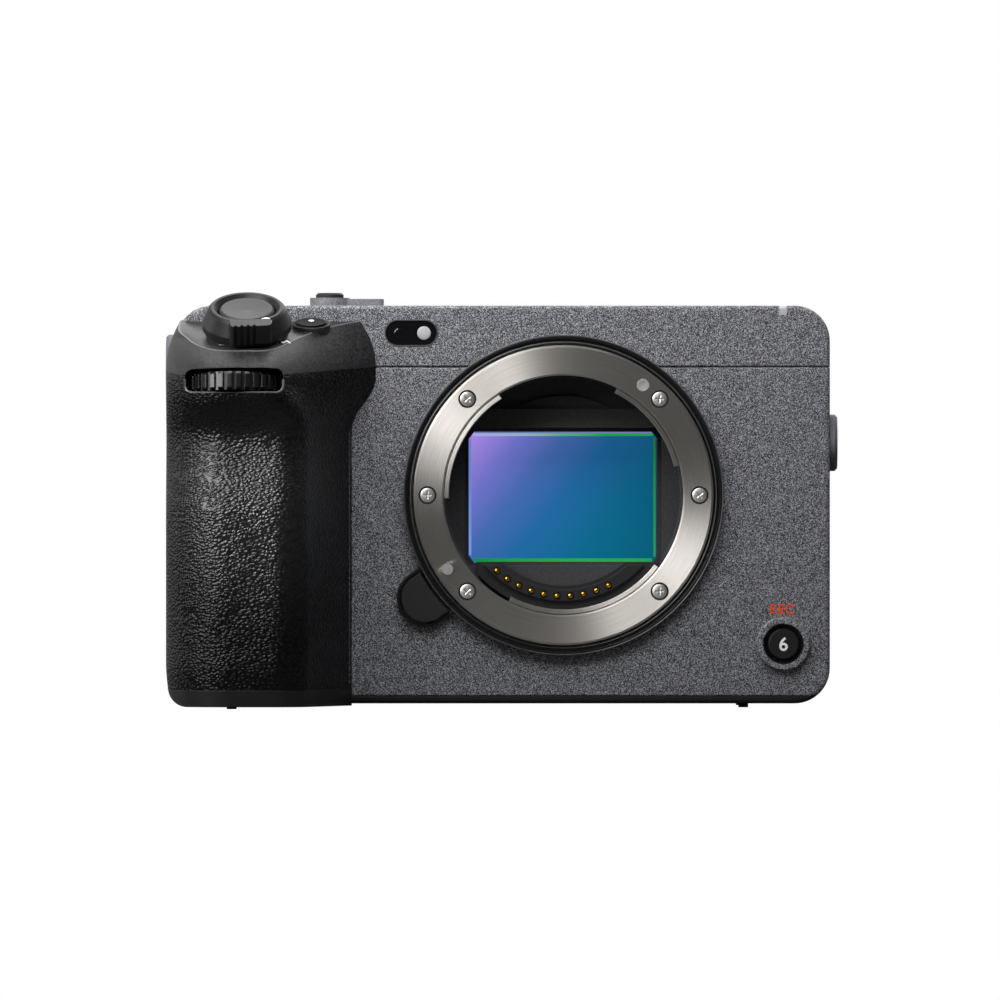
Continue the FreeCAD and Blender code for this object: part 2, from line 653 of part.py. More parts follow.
def contact_block(front, back):
    """The block under the sensor: a raised band that carries the contacts on a wider, lower floor."""
    floor_front = front + CONTACT_STEP
    band = tube(CONTACT_BAND_OUT, CONTACT_BAND_IN, on_axis(0, 0, front), BACKWARD, back - front)
    band = band.common(box(-BIG, BIG, -BIG, BIG, -BIG, AXIS_Z + CONTACT_BAND_Z))
    floor = tube(CONTACT_FLOOR_OUT, CONTACT_FLOOR_IN, on_axis(0, 0, floor_front), BACKWARD,
                 back - floor_front)
    floor = floor.common(box(CONTACT_FLOOR_X, BIG, -BIG, BIG, -BIG, AXIS_Z + CONTACT_FLOOR_Z))
    return fuse([band, floor])


def round_pin(radius, tip, length):
    """A contact pin with a domed tip that points to the front."""
    ball = Part.makeSphere(radius, tip + V(0, radius, 0))
    return ball.fuse(rod(radius, tip + V(0, radius, 0), BACKWARD, length - radius)).removeSplitter()


def make_shutter():
    """Thin focal-plane shutter: a hollow frame and blades stacked above the window."""
    half = SHUTTER_W / 2
    low, high = AXIS_Z - SHUTTER_BELOW, AXIS_Z + SHUTTER_ABOVE
    frame = box(-half, half, CHAMBER_BACK, SHUTTER_BACK, low, high)
    pocket = box(-half + 2, half - 2, CHAMBER_BACK + SHUTTER_SKIN, SHUTTER_BACK - SHUTTER_SKIN,
                 low + 2, high - 2)
    window = plate_y(-WINDOW_W / 2, WINDOW_W / 2, AXIS_Z - WINDOW_H / 2, AXIS_Z + WINDOW_H / 2, 1.0,
                     CHAMBER_BACK - 1, SHUTTER_BACK + 1)
    pieces["shutter_frame"] = frame.cut(pocket).cut(window)
    blade_low = AXIS_Z + WINDOW_H / 2 + 0.8
    for i in range(BLADE_COUNT):
        front = CHAMBER_BACK + SHUTTER_SKIN + 0.3 + BLADE_PITCH * i
        blade = plate_y(-half + 2.4, half - 2.4, blade_low, blade_low + BLADE_H, 0.6,
                        front, front + BLADE_T)
        pieces["shutter_blade_%d" % (i + 1)] = blade


def make_sensor():
    """Image sensor on its moving carriage, the cross slide and the fixed stabiliser base."""
    front = SHUTTER_BACK + STAGE_GAP
    half_w, half_h = SENSOR_W / 2, SENSOR_H / 2
    low, high = AXIS_Z - half_h, AXIS_Z + half_h
    sensor_front = front + SENSOR_GLASS_T
    pieces["sensor_glass"] = plate_y(-half_w, half_w, low, high, 0.6, front, sensor_front)
    sensor_back = sensor_front + SENSOR_T
    pieces["image_sensor"] = plate_y(-half_w, half_w, low, high, 0.6, sensor_front, sensor_back)
    carriage_back = sensor_back + CARRIAGE_T
    half_w, half_h = CARRIAGE_W / 2, CARRIAGE_H / 2
    low, high = AXIS_Z - half_h, AXIS_Z + half_h
    pieces["sensor_carriage"] = plate_y(-half_w, half_w, low, high, 3.0, sensor_back, carriage_back)
    slide_front = carriage_back + STAGE_GAP
    slide_back = slide_front + SLIDE_T
    slide = plate_y(-half_w, half_w, low, high, 3.0, slide_front, slide_back)
    opening = plate_y(-half_w + SLIDE_RIM, half_w - SLIDE_RIM, low + SLIDE_RIM, high - SLIDE_RIM, 2.0,
                      slide_front - 1, slide_back + 1)
    pieces["stabiliser_slide"] = slide.cut(opening)
    base_front = slide_back + STAGE_GAP
    base_back = base_front + STABILISER_T
    base = box(CHASSIS_LEFT + CHASSIS_WALL, CHASSIS_RIGHT - CHASSIS_WALL, base_front, base_back,
               low - 3, high + 3)
    base = base.cut(plate_y(-12, 12, AXIS_Z - 9, AXIS_Z + 9, 2.0, base_front - 1, base_back + 1))
    pieces["stabiliser_base"] = base


def make_electronics():
    """Main board with its chips, and the cooling fan behind it."""
    board_back = BOARD_Y + BOARD_T
    board = box(CHASSIS_LEFT + CHASSIS_WALL, CHASSIS_RIGHT - CHASSIS_WALL, BOARD_Y, board_back,
                BOARD_LOW_Z, CHASSIS_TOP - 4)
    chips = []
    for x, z, size in CHIPS:
        reach = size / 2
        chips.append(box(x - reach, x + reach, board_back, board_back + CHIP_T, z - reach, z + reach))
    pieces["main_board"] = fuse([board] + chips)
    half = FAN_SIZE / 2
    fan_back = board_back + FAN_T
    housing = plate_y(FAN_X - half, FAN_X + half, FAN_Z - half, FAN_Z + half, 4.0, board_back, fan_back)
    centre = V(FAN_X, board_back + 1.2, FAN_Z)
    housing = housing.cut(rod(FAN_R + 1.2, centre, BACKWARD, FAN_T))
    duct = box(FAN_X + half - 8, FAN_X + half + 1, board_back + 1.2, fan_back + 1, FAN_Z - half + 3, FAN_Z)
    post = rod(1.5, centre, BACKWARD, FAN_T - 2.6)
    pieces["fan_housing"] = fuse([housing.cut(duct), post])
    rotor_start = centre + V(0, 0.4, 0)
    hub = rod(6.0, rotor_start, BACKWARD, FAN_T - 2.6)
    disc = rod(FAN_R, rotor_start, BACKWARD, 0.8)
    blades = []
    for i in range(FAN_BLADES):
        blade = box(5.5, FAN_R - 0.2, 0, FAN_T - 3.2, -0.35, 0.35)
        blade.rotate(V(5.5, 0, 0), V(0, 1, 0), 25)
        blade.rotate(V(0, 0, 0), V(0, 1, 0), 360.0 * i / FAN_BLADES)
        blade.translate(rotor_start)
        blades.append(blade.common(rod(FAN_R, rotor_start, BACKWARD, FAN_T)))
    rotor = fuse([hub, disc] + blades)
    pieces["fan_rotor"] = rotor.cut(rod(1.5 + RUNNING, rotor_start - V(0, 1, 0), BACKWARD, FAN_T - 1.4))


def grip_section(level, inset):
    """One level outline of the grip: side, rounded front, slanted finger side and the body's front."""
    z, left, front, right, fold = level
    back = BODY_FRONT + 1.0
    side_x = BODY_LEFT + GRIP_WALL
    run = math.hypot(right - fold, BODY_FRONT - front)
    slant = inset * run / (BODY_FRONT - front)
    outline = [
        V(left + inset, GRIP_WRAP_Y if inset == 0 else back, z),
        V(left + inset, front + inset, z),
        V(fold - slant + inset * (right - fold) / (BODY_FRONT - front), front + inset, z),
        V(right - slant, BODY_FRONT, z),
        V(right - slant, back, z),
    ]
    most = (BODY_FRONT - front) * 0.8
    radii = [0, min(GRIP_FRONT_R, most) - inset, min(GRIP_FOLD_R, most) - inset, 0, 0]
    if inset == 0:
        outline += [V(side_x, back, z), V(side_x, GRIP_WRAP_Y, z)]
        radii += [0, 0]
    return rounded_wire(outline, radii)


def ease(value, low, high):
    """A smooth step from 0 at low to 1 at high."""
    part = min(max((value - low) / (high - low), 0.0), 1.0)
    return part * part * (3 - 2 * part)


def grip_level(z):
    """Height, left side, front, right side and fold of the grip at one height.

    The base tapers in, the front falls back in a hollow for the middle finger, the right side
    swells out under the head, the fold moves to the left there, and the head leans in towards its top.
    """
    taper = GRIP_TAPER * (1 - ease(z, GRIP_BASE_LOW, GRIP_TAPER_H))
    hollow = GRIP_HOLLOW * ease(z, GRIP_HOLLOW_Z - GRIP_HOLLOW_H, GRIP_HOLLOW_Z)
    hollow -= GRIP_HOLLOW * ease(z, GRIP_HOLLOW_Z, GRIP_HOLLOW_Z + GRIP_HOLLOW_H * 0.6)
    lean = max(z - GRIP_LEAN_Z, 0.0) ** 2 * GRIP_LEAN
    brow = max(z - GRIP_BROW_Z, 0.0) ** 1.5 * GRIP_BROW
    head = ease(z, GRIP_SWELL_Z, GRIP_SWELL_Z + GRIP_SWELL_H)
    swell = (GRIP_HEAD_RIGHT - GRIP_RIGHT) * head
    return (z, GRIP_LEFT + taper * 0.6 + lean * 0.8, GRIP_FRONT + taper + hollow + brow,
            GRIP_RIGHT + swell - lean, GRIP_FOLD_X - GRIP_FOLD_SHIFT * head)


def grip_levels():
    """The levels of the grip's outlines, evenly spaced from its base to above its head."""
    top = cap_surface_z(BODY_FRONT) + 1.0
    steps = GRIP_STEPS
    return [grip_level(GRIP_BASE_LOW + (top - GRIP_BASE_LOW) * i / steps) for i in range(steps + 1)]


def base_corner():
    """What lies outside the rounded lower left edge of the grip's base, for cutting away."""
    radius = GRIP_BASE_ROUND
    x = grip_level(GRIP_BASE_TOP)[1] + radius
    z = GRIP_BASE_LOW + radius
    front, back = GRIP_FRONT - 1, GRIP_WRAP_Y + 1
    corner = box(GRIP_LEFT - 1, x, front, back, GRIP_BASE_LOW - 1, z)
    return corner.cut(rod(radius, V(x, front, z), BACKWARD, back - front))


def make_grip():
    """Hand grip: base, leather-covered shell and plastic cap, all sliced from one form."""
    levels = grip_levels()
    form = Part.makeLoft([grip_section(level, 0) for level in levels], True, True)
    form = form.cut(casing_block())
    inside = Part.makeLoft([grip_section(level, GRIP_WALL) for level in levels], True, True)
    seam = box(-BIG, BIG, -BIG, BIG, 0, BIG)
    seam.rotate(V(0, 0, 0), V(1, 0, 0), CAP_SEAM_TILT)
    seam.translate(V(0, BODY_FRONT, CAP_SEAM_BACK_Z))
    seam = seam.fuse(box(-BIG, BIG, BODY_FRONT, BIG, CAP_SEAM_BACK_Z, BIG))
    above = box(-BIG, BIG, -BIG, BIG, 0, BIG)
    above.rotate(V(0, 0, 0), V(1, 0, 0), CAP_TOP_TILT)
    above.translate(V(0, CAP_TOP_Y, CAP_TOP_Z))
    above = above.fuse(box(-BIG, BIG, CAP_TOP_Y, BIG, CAP_TOP_Z, BIG))
    lower = form.cut(seam)
    base_zone = box(-BIG, BIG, -BIG, BIG, -BIG, GRIP_BASE_TOP)
    base = lower.common(base_zone)
    shell = lower.cut(base_zone).cut(inside)
    door_zone = door_block(DOOR_GAP, GRIP_BASE_LOW - 1, GRIP_BASE_TOP + 1)
    foot = rod(FOOT_R, V(FOOT_LEFT_X, GRIP_FRONT + FOOT_GRIP_INSET, -FOOT_H), UP, FOOT_H + 0.2)
    pieces["grip_base"] = fuse([base, foot]).cut(base_corner()).cut(door_zone)
    cap = form.common(seam).cut(above)
    pieces["grip_shell"] = shell
    pieces["grip_cap"] = cap


def cap_collar():
    """The tilted round collar on the cap that carries the lever, with its bearing tube."""
    seat = LEVER_TOP - LEVER_AXIS * LEVER_T
    collar = rod(LEVER_SKIRT_R - COLLAR_STEP, seat - LEVER_AXIS * 5.2, LEVER_AXIS, 5.0)
    bearing = rod(LEVER_BEARING_R, seat - LEVER_AXIS * 1.0, LEVER_AXIS, LEVER_T - 1.2)
    return collar.fuse(bearing)


def make_grip_controls():
    """Zoom lever round the shutter button, front dial on its axle, and the custom button."""
    seat = LEVER_TOP - LEVER_AXIS * LEVER_T
    bore_r = LEVER_BEARING_R + RUNNING
    lip_r = SHUTTER_BUTTON_R + LEVER_LIP_GAP
    profile = [
        (bore_r, 0), (LEVER_SKIRT_R, 0), (LEVER_SKIRT_R, 1.2), (LEVER_TOP_R, LEVER_T - 0.5),
        (LEVER_TOP_R - 0.5, LEVER_T), (LEVER_TOP_R - 1.1, LEVER_T), (lip_r, LEVER_T - 0.9),
        (lip_r, LEVER_T - 1.0), (bore_r, LEVER_T - 1.0),
    ]
    lever = turned(profile, seat, LEVER_AXIS)
    reach = LEVER_SKIRT_R + LEVER_TAB_OUT
    tab = plate_z(-LEVER_TAB_W / 2, LEVER_TAB_W / 2, -reach, -LEVER_TOP_R + 1.0, (1.0, 1.0, 0, 0),
                  LEVER_TAB_LOW, LEVER_T + LEVER_TAB_RISE)
    for i in range(LEVER_GROOVES):
        x = -LEVER_TAB_W / 2 + LEVER_GROOVE_PITCH * (i + 0.6)
        tab = tab.cut(box(x, x + LEVER_GROOVE_W, -reach - 1, -reach + LEVER_GROOVE_DEPTH, -1, LEVER_T + 1))
    tab.rotate(V(0, 0, 0), UP, LEVER_TAB_TURN)
    to_seat = FreeCAD.Placement(seat, FreeCAD.Rotation(V(1, 0, 0), LEVER_TILT))
    tab.Placement = to_seat.multiply(tab.Placement)
    pieces["zoom_lever"] = fuse([lever, tab])
    button_low = LEVER_TOP - LEVER_AXIS * (SHUTTER_BUTTON_T + 0.3)
    pieces["shutter_button"] = turned(
        [(0, 0), (SHUTTER_BUTTON_R, 0), (SHUTTER_BUTTON_R, SHUTTER_BUTTON_T - 0.4),
         (SHUTTER_BUTTON_R - 0.4, SHUTTER_BUTTON_T), (0, SHUTTER_BUTTON_T - 0.3)], button_low, LEVER_AXIS)
    start = DIAL_CENTRE - DIAL_AXIS * (DIAL_T / 2)
    dial = turned([(0, 0), (DIAL_R - 0.5, 0), (DIAL_R, 0.5), (DIAL_R, DIAL_T - 0.5), (DIAL_R - 0.5, DIAL_T),
                   (0, DIAL_T)], start, DIAL_AXIS)
    dial = dial.cut(ribs_round(DIAL_RIBS, DIAL_R, 0.7, 0.55, DIAL_CENTRE, DIAL_AXIS, DIAL_T))
    pieces["front_dial"] = dial.cut(rod(DIAL_AXLE_R + RUNNING, start - DIAL_AXIS, DIAL_AXIS, DIAL_T + 2))
    axle_start = start - DIAL_AXIS * 0.8
    washer = rod(DIAL_AXLE_R + 1.2, axle_start, DIAL_AXIS, 0.6)
    pieces["dial_axle"] = fuse([rod(DIAL_AXLE_R, axle_start, DIAL_AXIS, DIAL_T + 4.5), washer])
    pocket_low = start - DIAL_AXIS * (DIAL_GAP + 0.6)
    pocket = rod(DIAL_R + DIAL_GAP, pocket_low, DIAL_AXIS, DIAL_T + 2 * DIAL_GAP + 0.6)
    slot_half = DIAL_R - 0.6
    finger = box(DIAL_X - slot_half, DIAL_X + slot_half, GRIP_FRONT - 5, DIAL_Y,
                 DIAL_Z - SLOT_H / 2, DIAL_Z + SLOT_H / 2)
    finger.rotate(DIAL_CENTRE, V(1, 0, 0), -DIAL_TILT)
    axle_hole = rod(DIAL_AXLE_R, axle_start, DIAL_AXIS, DIAL_T + 4.5)
    cap = pieces["grip_cap"].fuse(cap_collar())
    cap = cap.cut(rod(SHUTTER_BUTTON_R + BUTTON_PLAY, seat - LEVER_AXIS * 1.2, LEVER_AXIS, 20))
    ring_low = GRIP_BUTTON_SEAT - CAP_AXIS * 1.0
    cap = cap.fuse(rod(GRIP_BUTTON_RING_R, ring_low, CAP_AXIS, 1.0 + GRIP_BUTTON_RISE - 0.3))
    cap = cap.cut(rod(GRIP_BUTTON_R + BUTTON_PLAY, GRIP_BUTTON_SEAT - CAP_AXIS * 1.8, CAP_AXIS, 10))
    cap = cap.cut(pocket).cut(finger).cut(axle_hole)
    pieces["grip_cap"] = cap.removeSplitter()
    pieces["grip_shell"] = pieces["grip_shell"].cut(pocket).cut(finger)
    button_low = GRIP_BUTTON_SEAT - CAP_AXIS * 0.9
    pieces["grip_button"] = rod(GRIP_BUTTON_R, button_low, CAP_AXIS, 0.9 + GRIP_BUTTON_RISE)


def door_block(grow, z0, z1):
    """The battery door's outline, grown by a gap."""
    half = BATTERY_W / 2 + BATTERY_GAP + CHAMBER_WALL * 0.5 + grow
    front = BATTERY_FRONT - BATTERY_GAP - CHAMBER_WALL * 0.5 - grow
    back = BATTERY_FRONT + BATTERY_D + BATTERY_GAP + CHAMBER_WALL * 0.5 + grow
    return plate_z(BATTERY_X - half, BATTERY_X + half, front, back, 0.8, z0, z1)


def make_battery():
    """Battery pack, the chamber round it, and the sprung door under it with its latch."""
    low = DOOR_T + 0.3
    half = BATTERY_W / 2
    back = BATTERY_FRONT + BATTERY_D
    pieces["battery"] = plate_z(BATTERY_X - half, BATTERY_X + half, BATTERY_FRONT, back, 1.0,
                                low, low + BATTERY_H)
    gap, wall = BATTERY_GAP, CHAMBER_WALL
    inner, outer = half + gap, half + gap + wall
    space = plate_z(BATTERY_X - inner, BATTERY_X + inner, BATTERY_FRONT - gap, back + gap, 1.0,
                    0, low + BATTERY_H + gap)
    block = plate_z(BATTERY_X - outer, BATTERY_X + outer, BATTERY_FRONT - gap - wall, back + gap + wall, 2.0,
                    FLOOR_T, low + BATTERY_H + gap + wall)
    pieces["battery_chamber"] = block.cut(space).cut(pieces["grip_shell"])
    door = door_block(0, 0, DOOR_T)
    hinge_y = back + gap + wall * 0.5
    hinge_z = DOOR_T / 2
    knuckle_r = DOOR_T / 2
    swing_r = knuckle_r * math.sqrt(2) + DOOR_GAP / 2
    door = door.cut(box(-BIG, BIG, hinge_y - swing_r, BIG, -1, DOOR_T + 1))
    reach = DOOR_KNUCKLE_L / 2
    knuckle = rod(knuckle_r, V(BATTERY_X - reach, hinge_y, hinge_z), RIGHTWARD, DOOR_KNUCKLE_L)
    web = box(BATTERY_X - reach, BATTERY_X + reach, hinge_y - swing_r - DOOR_GAP, hinge_y, 0, DOOR_T)
    pin_reach = reach + DOOR_EAR_W * 0.8
    pins = rod(DOOR_PIN_R, V(BATTERY_X - pin_reach, hinge_y, hinge_z), RIGHTWARD, 2 * pin_reach)
    latch_zone = box(BATTERY_X - 6, BATTERY_X + 6, BATTERY_FRONT + 2, BATTERY_FRONT + 6, -1, 1.2)
    pieces["battery_door"] = fuse([door, knuckle, web, pins]).cut(latch_zone)
    latch = box(BATTERY_X - 5.6, BATTERY_X + 2.4, BATTERY_FRONT + 2.3, BATTERY_FRONT + 5.7, 0.1, 1.15)
    for i in range(4):
        x = BATTERY_X - 4.4 + i * 1.6
        latch = latch.cut(box(x, x + 0.6, BATTERY_FRONT + 2.6, BATTERY_FRONT + 5.4, 0, 0.45))
    pieces["battery_latch"] = latch
    opening = door_block(DOOR_GAP, -1, FLOOR_T + 1)
    ears = []
    for side in (-1, 1):
        x = BATTERY_X + side * (reach + DOOR_GAP + DOOR_EAR_W / 2)
        ears.append(box(x - DOOR_EAR_W / 2, x + DOOR_EAR_W / 2, hinge_y - knuckle_r,
                        hinge_y + knuckle_r + DOOR_GAP, 0, FLOOR_T))
    base = pieces["base_plate"].cut(opening)
    base = base.cut(box(BATTERY_X - reach - DOOR_GAP, BATTERY_X + reach + DOOR_GAP, hinge_y - 1,
                        hinge_y + knuckle_r + DOOR_GAP, -1, FLOOR_T + 1))
    base = fuse([base] + ears)
    pin_hole = rod(DOOR_PIN_R + RUNNING, V(BATTERY_X - 14, hinge_y, hinge_z), RIGHTWARD, 28)
    pieces["base_plate"] = base.cut(pin_hole)
    pieces["grip_base"] = pieces["grip_base"].cut(block)
    window = block.BoundBox
    hole = box(window.XMin - 0.05, window.XMax + 0.05, -BIG, 0, BASE_T, window.ZMax + 0.05)
    pieces["front_cover"] = pieces["front_cover"].cut(hole)


def side_door_hole(y0, y1, z0, z1, x0, x1):
    """The opening for a door in the side of the casing, with its gap all round."""
    gap = SIDE_DOOR_GAP
    return plate_x(y0 - gap, y1 + gap, z0 - gap, z1 + gap, SIDE_DOOR_R + gap, x0, x1)


def make_cards():
    """Card reader with two slots and its door in the left side."""
    x0 = BODY_LEFT + WALL + 0.6
    low = CARD_DOOR_Z + 2
    high = CARD_DOOR_Z + CARD_DOOR_H - 2
    unit = box(x0, x0 + CARD_UNIT_W, CARD_DOOR_Y + 2.6, INNER_BACK, low, high)
    mid = (low + high) / 2
    for i in range(2):
        y = CARD_DOOR_Y + 5.0 + i * 5.6
        unit = unit.cut(box(x0 - 1, x0 + CARD_UNIT_W - 2, y, y + CARD_SLOT_T, mid - CARD_SLOT_H / 2,
                            mid + CARD_SLOT_H / 2))
    pieces["card_reader"] = unit
    y0, y1 = CARD_DOOR_Y, CARD_DOOR_Y + CARD_DOOR_D
    z0, z1 = CARD_DOOR_Z, CARD_DOOR_Z + CARD_DOOR_H
    door = plate_x(y0, y1, z0, z1, SIDE_DOOR_R, BODY_LEFT, BODY_LEFT + WALL)
    grips = [box(BODY_LEFT - 1, BODY_LEFT + 0.4, y0 + 2 + i * 1.2, y0 + 2.6 + i * 1.2, z0 + 12, z1 - 12)
             for i in range(3)]
    pieces["card_door"] = door.cut(Part.makeCompound(grips))
    hole = side_door_hole(y0, y1, z0, z1, BODY_LEFT - 1, BODY_LEFT + WALL + 1)
    pieces["left_cover"] = pieces["left_cover"].cut(hole)


def make_ports():
    """Sockets on the right side and the two doors over them."""
    board_back = BOARD_Y + BOARD_T
    x1 = BODY_RIGHT - PORT_DOOR_T - 0.4
    bodies = []
    upper_mid = (UPPER_DOOR_Z[0] + UPPER_DOOR_Z[1]) / 2
    for z in (upper_mid - JACK_PITCH / 2, upper_mid + JACK_PITCH / 2):
        centre = V(x1 - 13, board_back + JACK_BODY_R, z)
        body = rod(JACK_BODY_R, centre, RIGHTWARD, 13)
        bodies.append(body.cut(rod(JACK_R, centre + V(1, 0, 0), RIGHTWARD, 13)))
    door_low, door_high = LOWER_DOOR_Z
    split = door_low + (door_high - door_low) * PORT_SPLIT
    low, high = split + PORT_MARGIN, door_high - PORT_MARGIN
    video = plate_x(board_back, board_back + 6.2, low, high, 0.8, x1 - 12, x1)
    video = video.cut(plate_x(board_back + 0.8, board_back + 5.4, low + 1, high - 1, 0.8, x1 - 10, x1 + 1))
    tongue = box(x1 - 11, x1 - 2, board_back + 2.3, board_back + 3.9, low + 2, high - 2)
    bodies.append(fuse([video, tongue]))
    low, high = door_low + PORT_MARGIN, split - PORT_MARGIN
    data = plate_x(board_back, board_back + 4.4, low, high, 2.0, x1 - 9, x1)
    mouth = plate_x(board_back + 0.6, board_back + 3.8, low + 0.6, high - 0.6, 1.5, x1 - 8, x1 + 1)
    blade = box(x1 - 8.5, x1 - 1.5, board_back + 1.85, board_back + 2.55, low + 1.8, high - 1.8)
    bodies.append(fuse([data.cut(mouth), blade]))
    pieces["sockets"] = Part.makeCompound(bodies)
    rooms = []
    for room in [body.BoundBox for body in bodies]:
        rooms.append(box(x1 - 14, x1 + 1, board_back, room.YMax + 0.2, room.ZMin - 0.2, room.ZMax + 0.2))
    pieces["chassis"] = pieces["chassis"].cut(Part.makeCompound(rooms))
    for name, (z0, z1) in (("port_door_upper", UPPER_DOOR_Z), ("port_door_lower", LOWER_DOOR_Z)):
        y0, y1 = PORT_DOOR_Y, PORT_DOOR_Y + PORT_DOOR_D
        door = plate_x(y0, y1, z0, z1, SIDE_DOOR_R, BODY_RIGHT - PORT_DOOR_T, BODY_RIGHT)
        notch = rod(1.6, V(BODY_RIGHT - 0.5, y1 + 0.7, (z0 + z1) / 2 - 4), UP, 8)
        pieces[name] = door.cut(notch)
        hole = side_door_hole(y0, y1, z0, z1, BODY_RIGHT - 5, BODY_RIGHT + 1)
        pieces["right_cover"] = pieces["right_cover"].cut(hole)


def make_threads():
    """Threaded metal bushes in the underside, the top and both sides."""
    bushes = []

    def bush(mouth, inward, radius, flange_r, flange_t, targets):
        body = rod(radius, mouth, inward, THREAD_DEPTH + BUSH_END)
        if flange_t > 0:
            head = rod(flange_r, mouth, inward, flange_t)
            head = head.makeChamfer(0.5, [e for e in head.Edges if (e.CenterOfMass - mouth).Length < 1e-3])
            body = body.fuse(head)
        bushes.append(body.cut(rod(THREAD_R, mouth - inward, inward, THREAD_DEPTH + 1)).removeSplitter())
        seat = rod(radius, mouth - inward, inward, THREAD_DEPTH + BUSH_END + 1.2)
        for name in targets:
            pieces[name] = pieces[name].cut(seat)

    bush(V(0, 0, 0), UP, BUSH_R, 0, 0, ("base_plate", "chassis"))
    for x, y in TOP_BUSHES:
        bush(V(x, y, BODY_HEIGHT), V(0, 0, -1), TOP_BUSH_R, 0, 0, ("top_cover", "chassis"))
    right_mouth = V(BODY_RIGHT + RIGHT_BOSS_RISE, RIGHT_BOSS_Y, RIGHT_BOSS_Z)
    bush(right_mouth, V(-1, 0, 0), RIGHT_BUSH_R, RIGHT_BOSS_R, RIGHT_BOSS_RISE, ("front_cover", "chassis"))
    left_mouth = V(BODY_LEFT - LEFT_BOSS_RISE, LEFT_BOSS_Y, LEFT_BOSS_Z)
    bush(left_mouth, RIGHTWARD, TOP_BUSH_R, LEFT_BOSS_R, LEFT_BOSS_RISE, ("left_cover", "top_cover"))
    pieces["thread_bushes"] = Part.makeCompound(bushes)


def make_shoe():
    """Accessory shoe sunk in the top cover, open to the back."""
    half = SHOE_W / 2
    y0, y1 = SHOE_Y, SHOE_Y + SHOE_L
    floor_z = BODY_HEIGHT - SHOE_DEPTH
    wall = SHOE_WALL
    outer = box(-half - wall, half + wall, y0 - wall, y1, floor_z - wall, BODY_HEIGHT - 0.1)
    channel = box(-half, half, y0, y1 + 1, floor_z, BODY_HEIGHT - 0.1 - SHOE_RAIL_T)
    slot = box(-SHOE_SLOT_W / 2, SHOE_SLOT_W / 2, y0, y1 + 1, floor_z, BODY_HEIGHT + 1)
    pieces["accessory_shoe"] = outer.cut(channel).cut(slot)
    pieces["top_cover"] = pieces["top_cover"].cut(outer).cut(box(-half, half, y0, BIG, floor_z, BIG))


def make_top_controls():
    """Record button inside the ring of the power switch, on the top cover."""
    top = BODY_HEIGHT
    ring_low = top + 0.08
    switch_high = top + SWITCH_RISE
    ring = rod(SWITCH_RING_R, V(REC_X, REC_Y, ring_low), UP, switch_high - ring_low)
    arm = plate_z(REC_X, REC_X + SWITCH_ARM, REC_Y - SWITCH_ARM_W / 2, REC_Y + SWITCH_ARM_W / 2,
                  (0, 1.2, 1.2, 0), ring_low, switch_high - SWITCH_ARM_STEP)
    bore = rod(REC_BEARING_R + RUNNING, V(REC_X, REC_Y, top), UP, 9)
    pieces["power_switch"] = fuse([ring, arm]).cut(bore)
    bearing = rod(REC_BEARING_R, V(REC_X, REC_Y, top - WALL), UP, WALL + SWITCH_RISE)
    well = rod(REC_R + 0.12, V(REC_X, REC_Y, top - WALL - 1), UP, 12)
    pieces["top_cover"] = fuse([pieces["top_cover"], bearing]).cut(well)
    pieces["rec_button"] = turned([(0, -WALL), (REC_R, -WALL), (REC_R, REC_RISE - 0.4),
                                   (REC_R - 0.4, REC_RISE), (0, REC_RISE)], V(REC_X, REC_Y, top), UP)
    x, z = FRONT_BUTTON_X, FRONT_BUTTON_Z
    rise, soft = FRONT_RING_RISE, 0.3
    ring = turned([(0, 0.2), (FRONT_RING_R, 0.2), (FRONT_RING_R, soft - rise), (FRONT_RING_R - soft, -rise),
                   (0, -rise)], V(x, BODY_FRONT, z), BACKWARD)
    cover = fuse([pieces["front_cover"], ring])
    cover = cover.cut(rod(FRONT_RECESS_R, V(x, BODY_FRONT - 2, z), BACKWARD, 2 + WALL * 0.6))
    pieces["front_cover"] = cover.cut(rod(1.6, V(x, BODY_FRONT, z), BACKWARD, WALL + 1))
    pieces["chassis"] = pieces["chassis"].cut(rod(2.2, V(x, CHASSIS_FRONT - 1, z), BACKWARD, 3))
    cap_back = BODY_FRONT + WALL * 0.6 - FRONT_BUTTON_TRAVEL - 0.1
    cap_front = BODY_FRONT - FRONT_BUTTON_RISE
    stem_end = CHASSIS_FRONT + 0.2
    pieces["front_button"] = turned([(0, cap_front), (FRONT_BUTTON_R - soft, cap_front),
                                     (FRONT_BUTTON_R, cap_front + soft), (FRONT_BUTTON_R, cap_back),
                                     (STEM_R, cap_back), (STEM_R, stem_end), (0, stem_end)],
                                    V(x, 0, z), BACKWARD)
    x0, x1 = WINDOW_LENS_X - WINDOW_LENS_W / 2, WINDOW_LENS_X + WINDOW_LENS_W / 2
    z0, z1 = WINDOW_LENS_Z - WINDOW_LENS_H / 2, WINDOW_LENS_Z + WINDOW_LENS_H / 2
    pieces["remote_window"] = plate_y(x0, x1, z0, z1, WINDOW_LENS_R, BODY_FRONT + 0.1, BODY_FRONT + WALL)
    window_hole = plate_y(x0, x1, z0, z1, WINDOW_LENS_R, BODY_FRONT - 1, BODY_FRONT + WALL)
    pieces["top_cover"] = pieces["top_cover"].cut(window_hole)
    block = box(TALLY_X - TALLY_W / 2, TALLY_X + TALLY_W / 2, BODY_FRONT, BODY_FRONT + WALL + 0.6,
                BODY_HEIGHT - TALLY_H, BODY_HEIGHT)
    lamp = block.makeFillet(EDGE_R, [e for e in block.Edges if abs(e.CenterOfMass.y - BODY_FRONT) < 1e-6
                                     and abs(e.CenterOfMass.z - BODY_HEIGHT) < 1e-6])
    pieces["tally_lamp"] = lamp
    pieces["top_cover"] = pieces["top_cover"].cut(block)


